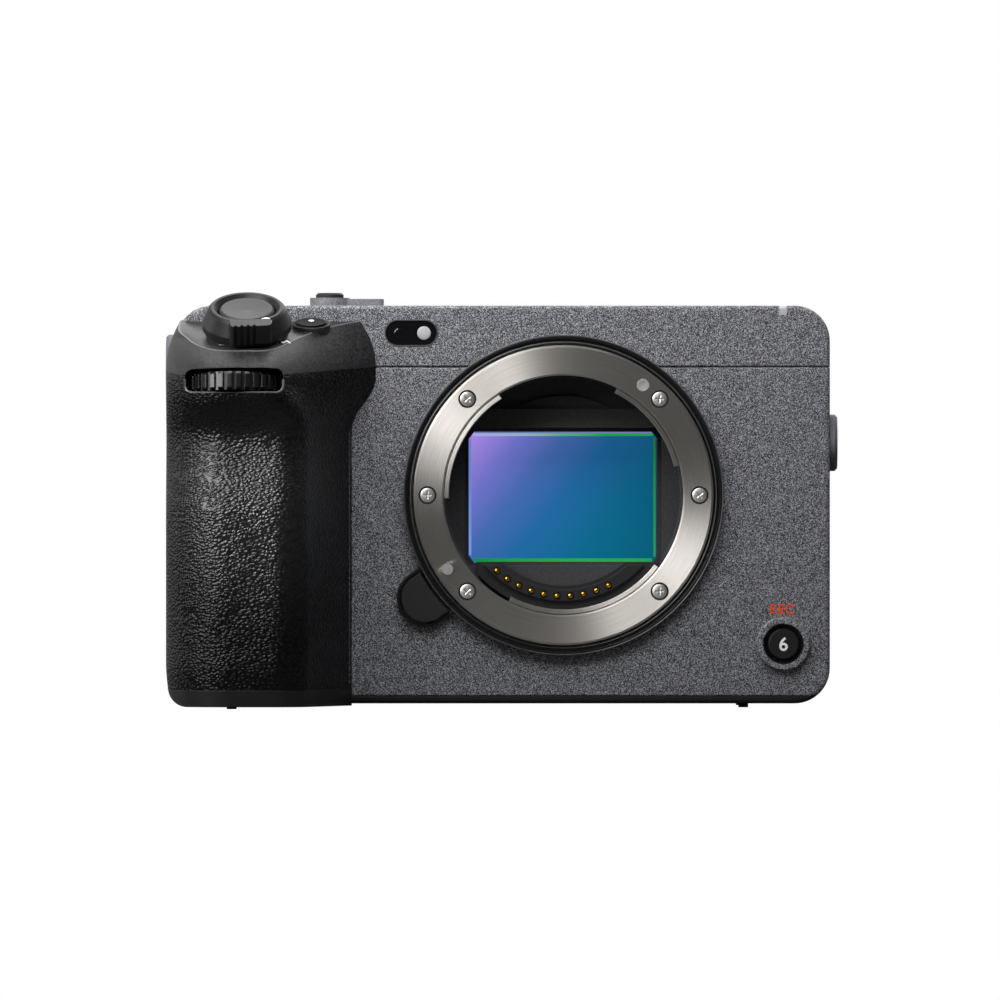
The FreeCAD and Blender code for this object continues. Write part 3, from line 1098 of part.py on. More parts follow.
def make_monitor():
    """Swing-out monitor on its vertical hinge at the right of the back."""
    y0 = BODY_BACK + MONITOR_GAP
    y1 = y0 + MONITOR_T
    axis_y = BODY_BACK + HINGE_RISE
    z0, z1 = MONITOR_LOW, MONITOR_HIGH
    lug_top = z1 - 3
    lug_low = z0 + 3
    case = plate_y(MONITOR_LEFT, MONITOR_RIGHT, z0, z1, MONITOR_R, y0, y1)
    rims = [e for e in case.Edges if e.BoundBox.YLength < 1e-6]
    case = case.makeFillet(0.9, rims)
    knuckle_low, knuckle_high = lug_low + HINGE_LUG_H + 0.2, lug_top - HINGE_LUG_H - 0.2
    knuckle = rod(HINGE_R, V(HINGE_X, axis_y, knuckle_low), UP, knuckle_high - knuckle_low)
    neck = box(MONITOR_RIGHT - 1, HINGE_X, axis_y - 1.8, axis_y + 2.2, knuckle_low, knuckle_high)
    m = MONITOR_GLASS_MARGIN
    pocket = plate_y(MONITOR_LEFT + m, MONITOR_RIGHT - m, z0 + m, z1 - m, 1.5, y1 - MONITOR_GLASS_T, y1 + 1)
    bore = rod(HINGE_PIN_R + RUNNING, V(HINGE_X, axis_y, 0), UP, BODY_HEIGHT)
    pieces["monitor_case"] = fuse([case, knuckle, neck]).cut(pocket).cut(bore)
    pieces["monitor_glass"] = plate_y(MONITOR_LEFT + m, MONITOR_RIGHT - m, z0 + m, z1 - m, 1.5,
                                      y1 - MONITOR_GLASS_T, y1 - 0.1)
    parts = [rod(HINGE_PIN_R, V(HINGE_X, axis_y, lug_low), UP, lug_top - lug_low)]
    x0, x1 = HINGE_X - HINGE_R, HINGE_X + HINGE_R - 0.9
    for low in (lug_low, lug_top - HINGE_LUG_H):
        parts.append(rod(HINGE_R, V(HINGE_X, axis_y, low), UP, HINGE_LUG_H))
        parts.append(box(x0, x1, BODY_BACK, axis_y, low, low + HINGE_LUG_H))
    pieces["monitor_hinge"] = fuse(parts)


def make_rear_controls():
    """Control wheel and its button, joystick, two rear buttons, thumb dial and thumb rest."""
    back = BODY_BACK
    cover = pieces["rear_cover"]
    x, z = WHEEL_X, WHEEL_Z
    cover = cover.cut(rod(WHEEL_R + 0.3, V(x, back - 0.8, z), BACKWARD, 2))
    hole_r = WHEEL_BUTTON_R + BUTTON_PLAY
    hub = tube(WHEEL_BUTTON_R + 0.6, hole_r, V(x, back - 1, z), BACKWARD, 1.6)
    cover = fuse([cover, hub]).cut(rod(hole_r, V(x, back - 1.4, z), BACKWARD, 5))
    bore_r = WHEEL_BUTTON_R + 0.6 + RUNNING
    shoulder = WHEEL_RISE - 0.5
    wheel = turned([(bore_r, -0.7), (WHEEL_R, -0.7), (WHEEL_R, shoulder), (WHEEL_R - 0.5, WHEEL_RISE),
                    (WHEEL_BUTTON_R + 1.4, shoulder), (bore_r, shoulder)], V(x, back, z), BACKWARD)
    pieces["control_wheel"] = wheel.cut(ribs_round(48, WHEEL_R, 0.5, 0.25, V(x, back, z), BACKWARD, 4))
    pieces["wheel_button"] = turned([(0, -0.6), (WHEEL_BUTTON_R, -0.6), (WHEEL_BUTTON_R, 0.6),
                                     (WHEEL_BUTTON_R - 0.3, 0.9), (0, 0.9)], V(x, back, z), BACKWARD)
    x, z = STICK_X, STICK_Z
    cover = cover.cut(rod(STICK_R + 1.0, V(x, back - 0.8, z), BACKWARD, 2))
    cover = cover.cut(rod(1.8, V(x, 0, z), BACKWARD, 50))
    pieces["joystick"] = turned([(0, -3.2), (1.1, -3.2), (1.1, 0.6), (STICK_R, 1.2),
                                 (STICK_R, STICK_RISE - 0.4), (STICK_R - 0.5, STICK_RISE),
                                 (0, STICK_RISE - 0.3)], V(x, back, z), BACKWARD)
    for name, x, z in (("menu_button", MENU_X, MENU_Z), ("play_button", PLAY_X, PLAY_Z)):
        cover = cover.cut(rod(REAR_BUTTON_R + BUTTON_PLAY, V(x, 0, z), BACKWARD, 50))
        pieces[name] = turned([(0, -WALL), (REAR_BUTTON_R, -WALL), (REAR_BUTTON_R, REAR_BUTTON_RISE - 0.3),
                               (REAR_BUTTON_R - 0.3, REAR_BUTTON_RISE), (0, REAR_BUTTON_RISE)],
                              V(x, back, z), BACKWARD)
    rest_x0 = BODY_LEFT + CORNER_R
    rest_back = back + THUMB_REST_RISE
    rest = plate_y(rest_x0, rest_x0 + THUMB_REST_W, THUMB_REST_Z[0], THUMB_REST_Z[1], 5.0, back - 0.2,
                   rest_back)
    rest = rest.makeFillet(2.4, [e for e in rest.Edges if abs(e.BoundBox.YMin - rest_back) < 1e-6])
    pieces["rear_cover"] = fuse([cover, rest])
    centre = V(REAR_DIAL_X, REAR_DIAL_Y, REAR_DIAL_Z)
    low = centre - UP * (REAR_DIAL_T / 2)
    dial = rod(REAR_DIAL_R, low, UP, REAR_DIAL_T)
    dial = dial.cut(ribs_round(REAR_DIAL_RIBS, REAR_DIAL_R, 0.8, 0.5, centre, UP, REAR_DIAL_T))
    boss_low = low.z + REAR_DIAL_T + 0.2
    boss = rod(3.0, V(centre.x, centre.y, boss_low), UP, BODY_HEIGHT - WALL - boss_low + 0.2)
    shaft = rod(1.0, V(centre.x, centre.y, low.z), UP, BODY_HEIGHT - WALL - low.z - 0.3)
    pieces["rear_dial"] = fuse([dial, shaft])
    top = fuse([pieces["top_cover"], boss])
    top = top.cut(rod(1.0 + RUNNING, low, UP, BODY_HEIGHT - WALL - low.z + 0.1))
    slot = rod(REAR_DIAL_R + 0.35, low - UP * 0.35, UP, REAR_DIAL_T + 0.55)
    pieces["top_cover"] = top.cut(slot)


def make_fasteners():
    """Case screws in the base and the feet nubs that the camera stands on."""
    screws = []
    for x, y in CASE_SCREWS:
        head = rod(CASE_SCREW_R, V(x, y, 0.1), UP, 0.9)
        shank = rod(CASE_SHANK_R, V(x, y, 1.0), UP, FLOOR_T - 1.0 + 2.5)
        slot = box(x - 0.8, x + 0.8, y - 0.15, y + 0.15, 0, 0.5)
        slot = slot.fuse(box(x - 0.15, x + 0.15, y - 0.8, y + 0.8, 0, 0.5))
        screws.append(head.fuse(shank).cut(slot))
        hole = rod(CASE_SHANK_R, V(x, y, 0), UP, 5)
        sink = rod(CASE_SCREW_R, V(x, y, -1), UP, 2.0)
        pieces["base_plate"] = pieces["base_plate"].cut(sink).cut(hole)
        pieces["chassis"] = pieces["chassis"].cut(hole)
    pieces["screws"] = Part.makeCompound(pieces["screws"].Solids + screws)
    places = ((FOOT_LEFT_X, FOOT_BACK_Y), (FOOT_RIGHT_X, FOOT_FRONT_Y), (FOOT_RIGHT_X, FOOT_BACK_Y))
    feet = [rod(FOOT_R, V(x, y, -FOOT_H), UP, FOOT_H + 0.2) for x, y in places]
    pieces["base_plate"] = fuse([pieces["base_plate"]] + feet)


def main():
    """Build every piece and write one file for each."""
    make_casing()
    make_mount()
    make_chassis()
    make_chamber()
    make_shutter()
    make_sensor()
    make_electronics()
    make_grip()
    make_battery()
    make_grip_controls()
    make_cards()
    make_ports()
    make_threads()
    make_shoe()
    make_top_controls()
    make_monitor()
    make_rear_controls()
    make_fasteners()
    os.makedirs("parts", exist_ok=True)
    for node, shape in pieces.items():
        shape.exportStep("parts/%s.step" % node)
        print(node, len(shape.Solids), shape.isValid(), round(shape.Volume, 1))
    print(len(pieces), "pieces")


main()
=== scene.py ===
"""Cinema camera body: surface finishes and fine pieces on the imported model.

Points are in metres in the model's frame: the lens looks along -Y, +X is the right of the front
view and +Z is up. The origin is the mouth of the tripod socket.
"""
import math

import bmesh
import bpy
import numpy as np
from mathutils import Matrix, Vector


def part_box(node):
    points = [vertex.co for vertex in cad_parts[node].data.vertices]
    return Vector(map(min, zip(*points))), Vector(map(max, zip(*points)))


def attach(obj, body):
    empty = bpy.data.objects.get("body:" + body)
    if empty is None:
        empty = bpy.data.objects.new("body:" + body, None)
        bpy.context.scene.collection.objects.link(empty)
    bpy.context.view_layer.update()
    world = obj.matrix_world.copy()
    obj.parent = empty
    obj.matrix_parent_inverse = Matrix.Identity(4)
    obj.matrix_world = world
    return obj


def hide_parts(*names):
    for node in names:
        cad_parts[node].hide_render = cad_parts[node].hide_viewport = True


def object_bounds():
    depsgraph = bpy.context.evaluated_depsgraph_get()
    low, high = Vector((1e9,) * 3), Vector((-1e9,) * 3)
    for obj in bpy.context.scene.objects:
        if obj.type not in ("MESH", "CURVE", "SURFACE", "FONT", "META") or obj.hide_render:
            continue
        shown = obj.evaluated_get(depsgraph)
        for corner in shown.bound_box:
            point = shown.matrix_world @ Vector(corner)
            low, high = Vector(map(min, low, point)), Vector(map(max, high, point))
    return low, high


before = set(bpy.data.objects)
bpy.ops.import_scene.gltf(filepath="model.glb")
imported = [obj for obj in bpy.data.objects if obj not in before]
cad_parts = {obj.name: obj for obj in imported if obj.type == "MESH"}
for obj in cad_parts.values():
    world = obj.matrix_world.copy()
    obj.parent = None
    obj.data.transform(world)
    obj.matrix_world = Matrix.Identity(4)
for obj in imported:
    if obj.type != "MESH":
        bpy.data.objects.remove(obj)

CAD_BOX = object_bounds()
MM = 0.001
WHITE = (1.0, 1.0, 1.0, 1.0)

# The way into the body, and the right and up of letters on the front
INWARD = (0.0, 1.0, 0.0)
FRONT_LAY = ((1.0, 0.0, 0.0), (0.0, 0.0, 1.0))

# The view: a long lens square to the front, level with the middle of the picture
VIEW_X = -12.21 * MM
VIEW_Z = 39.17 * MM
VIEW_DISTANCE = 3.0
VIEW_WIDTH = 0.1935
SENSOR_WIDTH = 36.0

# Room tone in front of the object, overhead and behind it, and where it changes between them. Then the
# floor: half its width in millimetres, tone, own light, and where its shadow fades, in metres
ROOM_LOW = 0.07
ROOM_HIGH = 0.2
ROOM_BEHIND = 0.55
ROOM_RISE = (0.3, 0.95)
ROOM_TURN = (0.1, 0.5)
FLOOR_HALF = 6000.0
FLOOR_TONE = 0.11
FLOOR_GLOW = 0.98
SHADOW_REACH = (0.07, 0.16)

# Lamps: place, aim, width, height, watts, whether it serves dull and whether glossy surfaces
BODY_MIDDLE = (-0.012, 0.0, 0.04)
MOUNT_FRONT = (-0.012, -0.01, 0.05)
LAMPS = {
    "side": ((-0.86, -0.86, 0.56), BODY_MIDDLE, 0.7, 0.7, 14.5, False, True),
    "top": ((-0.06, -0.11, 0.205), MOUNT_FRONT, 0.4, 0.1, 1.04, True, False),
    "gloss": ((-0.13, -0.31, 0.33), MOUNT_FRONT, 0.07, 0.07, 0.52, False, True),
    "rim": ((-1.1, 0.3, 0.3), BODY_MIDDLE, 0.3, 0.7, 2.0, True, True),
    "back": ((0.2, 0.9, 0.7), BODY_MIDDLE, 0.8, 0.5, 3.5, True, True),
    "ceiling": ((0.0, 0.28, 0.85), BODY_MIDDLE, 0.6, 0.4, 2.0, True, True),
}

# Mount and body, as the model has them
AXIS_Z = 40.1
FLANGE_Y = -18.0
BODY_LEFT = -74.5
BODY_RIGHT = 51.3
BODY_TOP = 76.6
BODY_FRONT = -15.8
BODY_BACK = 33.0
CORNER_R = 6.8
LOW_LEFT_R = 2.3

# Hand grip, as the model has it
GRIP_LEFT = -76.2
GRIP_FRONT = -42.0
GRIP_RIGHT = -40.75
GRIP_HEAD_RIGHT = -36.1
GRIP_FOLD_X = -50.5
GRIP_FOLD_SHIFT = 5.0
GRIP_FRONT_R = 12.0
GRIP_FOLD_R = 7.0
GRIP_WRAP_Y = 6.0
GRIP_WALL = 1.6
GRIP_TAPER = 0.9
GRIP_TAPER_TOP = 8.0
GRIP_HOLLOW = 3.2
GRIP_HOLLOW_Z = 51.0
GRIP_HOLLOW_H = 15.0
GRIP_SWELL_Z = 53.0
GRIP_SWELL_H = 9.5
GRIP_LEAN_Z = 65.0
GRIP_LEAN = 0.042
GRIP_BROW_Z = 62.0
GRIP_BROW = 0.465
GRIP_LOW = -0.4
GRIP_BASE_TOP = 2.8
CAP_SEAM_Z = 64.8
CAP_SEAM_TILT = 4.5
CAP_TOP_Z = 73.8
CAP_TOP_Y = -15.0
CAP_TOP_TILT = 16.5
LEVER_TILT = 25.0
LEVER_TOP = (-60.75, -28.0, 76.15)
LEVER_T = 4.3
LEVER_SKIRT_R = 8.55
LEVER_MARK_TURN = -55.0
SHUTTER_BUTTON_R = 5.3
DIAL_CENTRE = (-63.0, -31.6, 60.7)
DIAL_R = 10.0
DIAL_T = 3.6
DIAL_TILT = 8.0
DIAL_GAP = 0.35
SLOT_HALF = 2.5
GRIP_BUTTON_X = -48.5
GRIP_BUTTON_Y = -20.2
GRIP_BUTTON_R = 2.85
GRIP_BUTTON_RING_R = 3.65
GRIP_BUTTON_RISE = 1.2

# Cuts and collars of the grip's cap, as depths and spans along the lever's or the button's axis
BUTTON_GAP = 0.15
SKIRT_INSET = 0.7
SKIRT_SPAN = (-5.2, -0.2)
COLLAR_WALL = 0.85
COLLAR_SINK = 1.0
COLLAR_DROP = 2.2
RING_DROP = 0.3
SHUTTER_WELL = (-1.2, 20.0)
BUTTON_WELL = (-1.8, 10.0)
POCKET_EXTRA = 0.6
SLOT_CORNER = 1.4
SLOT_INSET = 0.6
SLOT_RIM_RISE = 2.6

# Screws in the mount ring, and the width of the dark ring of painted shade round each head
SCREW_RING_R = 26.16
SCREW_ANGLES = (0, 45, 135, 180, 225, 315)
SCREW_HEAD_R = 1.4
SCREW_HEAD_RISE = 0.2
SCREW_SHADE_WIDTH = 0.32
SCREW_TURN = (35.0, 47.0)

# Fine lines: ridges on the bezel and the cap's edge, grey as painted highlights, the grip's welt, and the
# radii of their wires
BEZEL_RIDGES = (29.42, 30.7)
CAP_EDGE_START = -74.0
WELT_PITCH = 1.25
WELT_INSET = 0.5
WELT_WIRE = 0.14
WELT_SWELL = 0.12
SLOT_WIRE = 0.24
EDGE_WIRE = 0.14
WINDOW_WIRE = 0.13

# Index dot on the ring, small window, letters and the front button's recess
INDEX_R = 26.1
INDEX_ANGLE = 54.1
WINDOW_LAMP_X = -26.85
WINDOW_EYE_X = -31.7
LETTER_THICK = 0.05
NUMBER_SIZE = 3.6
RECORD_SIZE = 2.75
ZOOM_SIZE = 2.6
RECORD_WORD_RISE = 6.75
ZOOM_LETTERS = (("T", -65.2, -31.0), ("W", -53.7, -29.7))
RECESS_R = 3.92
RECESS_INNER_R = 3.2

# Sensor: its middle below the lens axis, the mask round it as half width, half height and corner cuts,
# and its edge lines of painted light as left, right, low and high from the lens axis
SENSOR_DROP = -0.42
MASK_OUTER = (21.5, 16.0, 1.2, 1.2)
MASK_INNER = (18.26, 12.69, 1.1, 1.45)
FILTER_BARS = (
    ("filter_edge_top", -17.5, 17.4, 11.45, 11.98, "filter_edge"),
    ("filter_shade_top", -17.1, 17.1, 11.98, 12.27, "filter_violet"),
    ("filter_edge_bottom", -17.2, 17.2, -12.87, -12.21, "filter_green"),
    ("filter_line_bottom", -16.8, 17.0, -13.1, -12.87, "filter_red"),
    ("filter_edge_right", 17.45, 17.85, -11.9, 11.2, "filter_green"),
    ("filter_shade_right", 17.85, 18.2, -11.4, 10.6, "filter_teal"),
    ("filter_line_right", 18.0, 18.26, -11.8, 10.8, "filter_red"),
    ("filter_edge_left", -18.25, -17.75, -11.6, 10.8, "filter_blue"),
)

# Bayonet tabs inside the mount ring: radius, angles, and the strips' width, depth and soft edge
TAB_R = 22.0
TAB_SPANS = ((14.4, 63.4), (122.5, 181.6), (242.8, 322.7))
TAB_WIDTH = (0.06, 0.88)
TAB_DEPTH = (0.3, 1.7)
TAB_SOFT = 0.08

# Surfaces: grains in millimetres, turned lines and pebbles to the metre, the pebbles' drift in metres
PAINT_GRAIN = 0.14
CAP_GRAIN = 0.22
CLOUD_SIZE = 9.0
TURNED_LINES = 9000.0
PEBBLES = 1650.0
PEBBLE_DRIFT = 0.0022

# Shine of the leather, partly finger wear and partly a painted highlight: its spot, how far it reaches and
# what is left beyond
SHINE_SPOT = (-58.0, -42.0, 38.0)
SHINE_REACH = 22.0
SHINE_LEAST = 0.22

# Sensor's colours, a painted reflection: their run over its width and height, its painted glow and that of
# its edge
SENSOR_SLOPE = (0.62, -0.38)
SENSOR_PAINTED_GLOW = 0.8
EDGE_PAINTED_GLOW = 0.7

# Moulded finishes: material, dark tone, light tone, roughness and other values
PLASTICS = {
    "satin_black": ("satin_black_plastic", (17, 17, 18), (31, 31, 33), 0.42, dict(specular=0.3)),
    "deep_black": ("deep_black_plastic", (8, 8, 9), (16, 16, 17), 0.4, dict(specular=0.25)),
    "bezel_black": ("bezel_black_plastic", (10, 10, 11), (18, 18, 19), 0.28, dict(depth=0.002, specular=0.6)),
    "matt_black": ("matt_black_plastic", (10, 10, 11), (18, 18, 19), 0.65, dict(specular=0.12)),
    "soft_black": ("soft_black_plastic", (28, 28, 30), (40, 40, 42), 0.5, dict(specular=0.25)),
    "button_grey": ("button_grey", (34, 34, 36), (44, 44, 46), 0.5, dict(edge=0.3)),
    "switch_grey": ("switch_grey_paint", (84, 85, 89), (124, 125, 129), 0.5, dict(size=0.4, depth=0.02)),
    "boss_metal": ("boss_grey", (80, 81, 85), (112, 113, 117), 0.6, dict(size=0.3, depth=0.01, specular=0.2)),
    # screw_painted_shade: a dark sheet of painted shade in the sink round each screw head
    "screw_painted_shade": ("screw_painted_shade", (14, 14, 14), (24, 24, 24), 0.5, dict(depth=0.001, edge=0.0)),
    # lip_painted_highlight: a glossy lip made grey, a painted highlight on black plastic
    "lip_painted_highlight": ("slot_lip_painted_highlight", (62, 62, 64), (82, 82, 84), 0.2,
                     dict(depth=0.001, edge=0.0, specular=0.9)),
    # edge_painted_highlight: a light line on the cap's dark edge, a painted highlight
    "edge_painted_highlight": ("cap_edge_painted_highlight", (84, 84, 86), (112, 112, 114), 0.35, dict(depth=0.002, edge=0.0)),
    "ridge_grey": ("ridge_grey", (54, 55, 58), (72, 73, 76), 0.35, dict(depth=0.001, edge=0.0)),
    "chamber": ("chamber_black", (52, 52, 54), (68, 68, 71), 0.7, dict(size=0.25, depth=0.01, specular=0.3)),
    "smoked": ("smoked_window", (6, 6, 8), (14, 14, 17), 0.08, dict(depth=0.0004)),
    "lamp": ("lamp_lens", (156, 157, 159), (176, 177, 179), 0.3, dict(depth=0.002)),
    "board": ("circuit_board", (14, 58, 34), (22, 78, 46), 0.4, {}),
    "inner": ("inner_plastic", (30, 30, 32), (46, 46, 48), 0.6, {}),
}

# Metal finishes: material, dark tone, light tone, roughness and soft edge
METALS = {
    "bright_steel": ("screw_steel", (128, 127, 124), (172, 170, 167), 0.34, 0.1),
    "screw_head": ("screw_head_steel", (206, 204, 201), (236, 234, 231), 0.42, 0.0),
    "gold": ("gold_plating", (170, 124, 40), (226, 178, 74), 0.22, 0.1),
    "cast": ("cast_alloy", (120, 120, 122), (150, 150, 152), 0.5, 0.1),
}

# Printed marks: material and tone
MARKS = {
    "white_mark": ("white_marking", (232, 232, 232)),
    "orange_mark": ("orange_marking", (222, 66, 28)),
    "index_silver": ("index_silver", (142, 140, 137)),
}

# Painted light caught in the edges of the sensor's filter: colours that glow, their tone and strength
GLOWS = {
    "filter_green": ((12, 160, 74), 0.45),
    "filter_teal": ((14, 100, 120), 0.4),
    "filter_blue": ((128, 158, 232), 0.6),
    "filter_violet": ((150, 152, 226), 0.5),
    "filter_red": ((70, 12, 22), 0.4),
}


def axis_of(tilt):
    """The unit vector that leans from straight up towards the front by an angle in degrees."""
    return np.array([0.0, -math.sin(math.radians(tilt)), math.cos(math.radians(tilt))])


def frame_of(axis):
    """Two unit vectors square to an axis and to each other."""
    axis = np.asarray(axis, float) / np.linalg.norm(axis)
    helper = np.array([1.0, 0.0, 0.0]) if abs(axis[0]) < 0.9 else np.array([0.0, 1.0, 0.0])
    side = helper - axis * helper.dot(axis)
    side /= np.linalg.norm(side)
    return side, np.cross(axis, side), axis


def grid_faces(rows, cols, wrap_rows=False, wrap_cols=False):
    """Quads between neighbours of a grid of points, row by row, wrapped where asked."""
    r, c = np.meshgrid(np.arange(rows if wrap_rows else rows - 1), np.arange(cols if wrap_cols else cols - 1),
                       indexing="ij")
    r2, c2 = (r + 1) % rows, (c + 1) % cols
    return np.stack([r * cols + c, r * cols + c2, r2 * cols + c2, r2 * cols + c], -1).reshape(-1, 4)


def rod_faces(rows, count):
    """Quads round a rod made of closed rows of points, and a face on each of its ends."""
    ends = [list(range(count)), list(range((rows - 1) * count, rows * count))]
    return grid_faces(rows, count, False, True).tolist() + ends


def mesh_object(name, points, faces, merge=0.0, sharp=32.0):
    """A smooth-shaded object from points in millimetres and faces, with its normals facing outwards."""
    mesh = bpy.data.meshes.new(name)
    places = np.asarray(points).reshape(-1, 3) * MM
    mesh.from_pydata(places.tolist(), [], [list(map(int, face)) for face in faces])
    obj = bpy.data.objects.new(name, mesh)
    bpy.context.collection.objects.link(obj)
    tidy_mesh(mesh, merge, sharp)
    return obj


def tidy_mesh(mesh, merge=0.0, sharp=32.0):
    """Merges points that lie together, turns the faces outwards and marks the sharp edges."""
    work = bmesh.new()
    work.from_mesh(mesh)
    if merge > 0:
        bmesh.ops.remove_doubles(work, verts=work.verts, dist=merge * MM)
    bmesh.ops.recalc_face_normals(work, faces=work.faces)
    work.to_mesh(mesh)
    work.free()
    mesh.polygons.foreach_set("use_smooth", [True] * len(mesh.polygons))
    mesh.set_sharp_from_angle(angle=math.radians(sharp))


def lathe(name, profile, centre, axis, steps=96):
    """A profile of (radius, height) carried round an axis: radius times cosine and sine, plus height."""
    side, across, up = frame_of(axis)
    turn = np.linspace(0, 2 * math.pi, steps, endpoint=False)
    radius, height = np.array(profile, float).T
    ring = np.cos(turn)[:, None] * side + np.sin(turn)[:, None] * across
    points = np.asarray(centre, float) + radius[:, None, None] * ring[None] + height[:, None, None] * up
    rows = len(profile)
    faces = grid_faces(rows, steps, profile[0][0] > 0 and profile[-1][0] > 0, True)
    return mesh_object(name, points, faces, merge=0.002)


def tube(name, path, radius, closed=True, sides=10):
    """A round wire along a path of points: at each point a circle square to the path's direction.

    The radius is one number or one for each point.
    """
    path = np.asarray(path, float)
    radius = np.broadcast_to(radius, len(path))[:, None, None]
    ahead = np.roll(path, -1, 0) - np.roll(path, 1, 0)
    if not closed:
        ahead = np.gradient(path, axis=0)
    ahead /= np.linalg.norm(ahead, axis=1)[:, None]
    side = np.cross(ahead, INWARD)
    side /= np.linalg.norm(side, axis=1)[:, None]
    across = np.cross(ahead, side)
    turn = np.linspace(0, 2 * math.pi, sides, endpoint=False)
    points = path[:, None] + radius * (np.cos(turn)[None, :, None] * side[:, None]
                                       + np.sin(turn)[None, :, None] * across[:, None])
    faces = grid_faces(len(path), sides, True, True) if closed else rod_faces(len(path), sides)
    return mesh_object(name, points, faces)


def slab(name, outline, push):
    """A flat closed outline pushed along a vector."""
    outline = np.asarray(outline, float)
    return mesh_object(name, np.array([outline, outline + np.array(push)]), rod_faces(2, len(outline)))


def round_box(x0, x1, z0, z1, radius, steps=8):
    """Points of a rectangle in x and z whose corners are quarter circles."""
    return round_corners((x1 - radius, z1 - radius, radius), (x0 + radius, z1 - radius, radius),
                         (x0 + radius, z0 + radius, radius), (x1 - radius, z0 + radius, radius), steps=steps)


def round_corners(*corners, steps):
    """Quarter circles round four centres (x, z, radius), from the upper right, against the clock."""
    rows = []
    for quarter, (x, z, radius) in enumerate(corners):
        turn = np.linspace(0, math.pi / 2, steps) + quarter * math.pi / 2
        rows.append(np.stack([x + radius * np.cos(turn), z + radius * np.sin(turn)], -1))
    return np.concatenate(rows)


def facing_front(flat, y):
    """Flat points (x, z) set at a depth."""
    return np.stack([flat[:, 0], np.full(len(flat), y), flat[:, 1]], -1)


def around(radius, angle, y):
    """Points at a radius and angles round the lens axis."""
    turn = np.radians(np.asarray(angle, float))
    return np.stack([radius * np.cos(turn), np.full(turn.shape, y), AXIS_Z + radius * np.sin(turn)], -1)


def add(mat, kind, **values):
    """A new node in a material or a world; values go to its properties or its sockets."""
    node = mat.node_tree.nodes.new(kind)
    for key, value in values.items():
        if key in node.inputs:
            node.inputs[key].default_value = value
        else:
            setattr(node, key, value)
    return node


def link(mat, start, out, end, into):
    """A link between two nodes of a material or a world."""
    mat.node_tree.links.new(start.outputs[out], end.inputs[into])


def number(mat, operation, start, out, value=None, kind="ShaderNodeMath"):
    """A step of arithmetic on a node's output, with a fixed second value where it takes one."""
    node = add(mat, kind, operation=operation)
    if value is not None:
        node.inputs[1].default_value = value
    link(mat, start, out, node, 0)
    return node


def vector(mat, operation, start, out, value=None):
    """A step of vector arithmetic on a node's output."""
    return number(mat, operation, start, out, value, "ShaderNodeVectorMath")


def spread(mat, start, out, low, high, first=0.0, last=1.0, kind="LINEAR"):
    """Carries a node's output from the range low to high over to the range first to last."""
    node = add(mat, "ShaderNodeMapRange", interpolation_type=kind)
    for key, value in zip(("From Min", "From Max", "To Min", "To Max"), (low, high, first, last)):
        node.inputs[key].default_value = value
    link(mat, start, out, node, "Value")
    return node


def blend(mat, factor, out, first, second):
    """A mix of two shaders by a node's output."""
    mix = add(mat, "ShaderNodeMixShader")
    link(mat, factor, out, mix, 0)
    link(mat, first, 0, mix, 1)
    link(mat, second, 0, mix, 2)
    return mix


def seen_directly(mat):
    """A node that gives 1 where the camera, or a ray through glass, meets the surface, and else 0."""
    rays = add(mat, "ShaderNodeLightPath")
    either = number(mat, "MAXIMUM", rays, "Is Camera Ray")
    link(mat, rays, "Is Transmission Ray", either, 1)
    return either


def tone(red, green, blue):
    """A colour as the eye reads it, from 0 to 255, as the linear colour that a shader takes."""
    parts = np.array([red, green, blue]) / 255.0
    line = np.where(parts <= 0.04045, parts / 12.92, ((parts + 0.055) / 1.055) ** 2.4)
    return tuple(float(v) for v in line) + (1.0,)


def surface(name, colour, roughness, metallic=0.0, specular=0.5, edge=0.0, **more):
    """A material with its main shader and, for moulded or turned edges, a soft edge normal."""
    mat = bpy.data.materials.new(name)
    mat.use_nodes = True
    shader = mat.node_tree.nodes["Principled BSDF"]
    values = {"Base Color": colour, "Roughness": roughness, "Metallic": metallic,
              "Specular IOR Level": specular, **more}
    for key, value in values.items():
        shader.inputs[key].default_value = value
    if edge > 0:
        soft = add(mat, "ShaderNodeBevel", samples=4, Radius=edge * MM)
        link(mat, soft, "Normal", shader, "Normal")
    return mat


def shader_of(mat):
    """A material's main shader."""
    return mat.node_tree.nodes["Principled BSDF"]


def bump(mat, height_node, height_out, depth, strength=1.0):
    """Bumps of a depth in millimetres, laid over the soft edge normal where there is one."""
    node = add(mat, "ShaderNodeBump", Distance=depth * MM, Strength=strength)
    link(mat, height_node, height_out, node, "Height")
    shader = shader_of(mat)
    before = shader.inputs["Normal"].links
    if before:
        mat.node_tree.links.new(before[0].from_socket, node.inputs["Normal"])
    link(mat, node, "Normal", shader, "Normal")


def grain(mat, size, colours, lowest=0.3, highest=0.7, depth=0.02, uneven=0.0):
    """Fine grain from noise: its size in millimetres, its two colours, its bumps and its uneven gloss."""
    place = add(mat, "ShaderNodeTexCoord")
    noise = add(mat, "ShaderNodeTexNoise", Scale=1.0 / (size * MM), Detail=2.0, Roughness=0.6)
    link(mat, place, "Object", noise, "Vector")
    colour_by(mat, noise, "Fac", zip((lowest, highest), colours))
    bump(mat, noise, "Fac", depth)
    if uneven > 0:
        cloud = add(mat, "ShaderNodeTexNoise", Scale=1.0 / (CLOUD_SIZE * MM), Detail=3.0)
        rough = shader_of(mat).inputs["Roughness"].default_value
        link(mat, place, "Object", cloud, "Vector")
        gloss = spread(mat, cloud, "Fac", 0.0, 1.0, rough - uneven, rough + uneven)
        link(mat, gloss, "Result", shader_of(mat), "Roughness")
    return mat


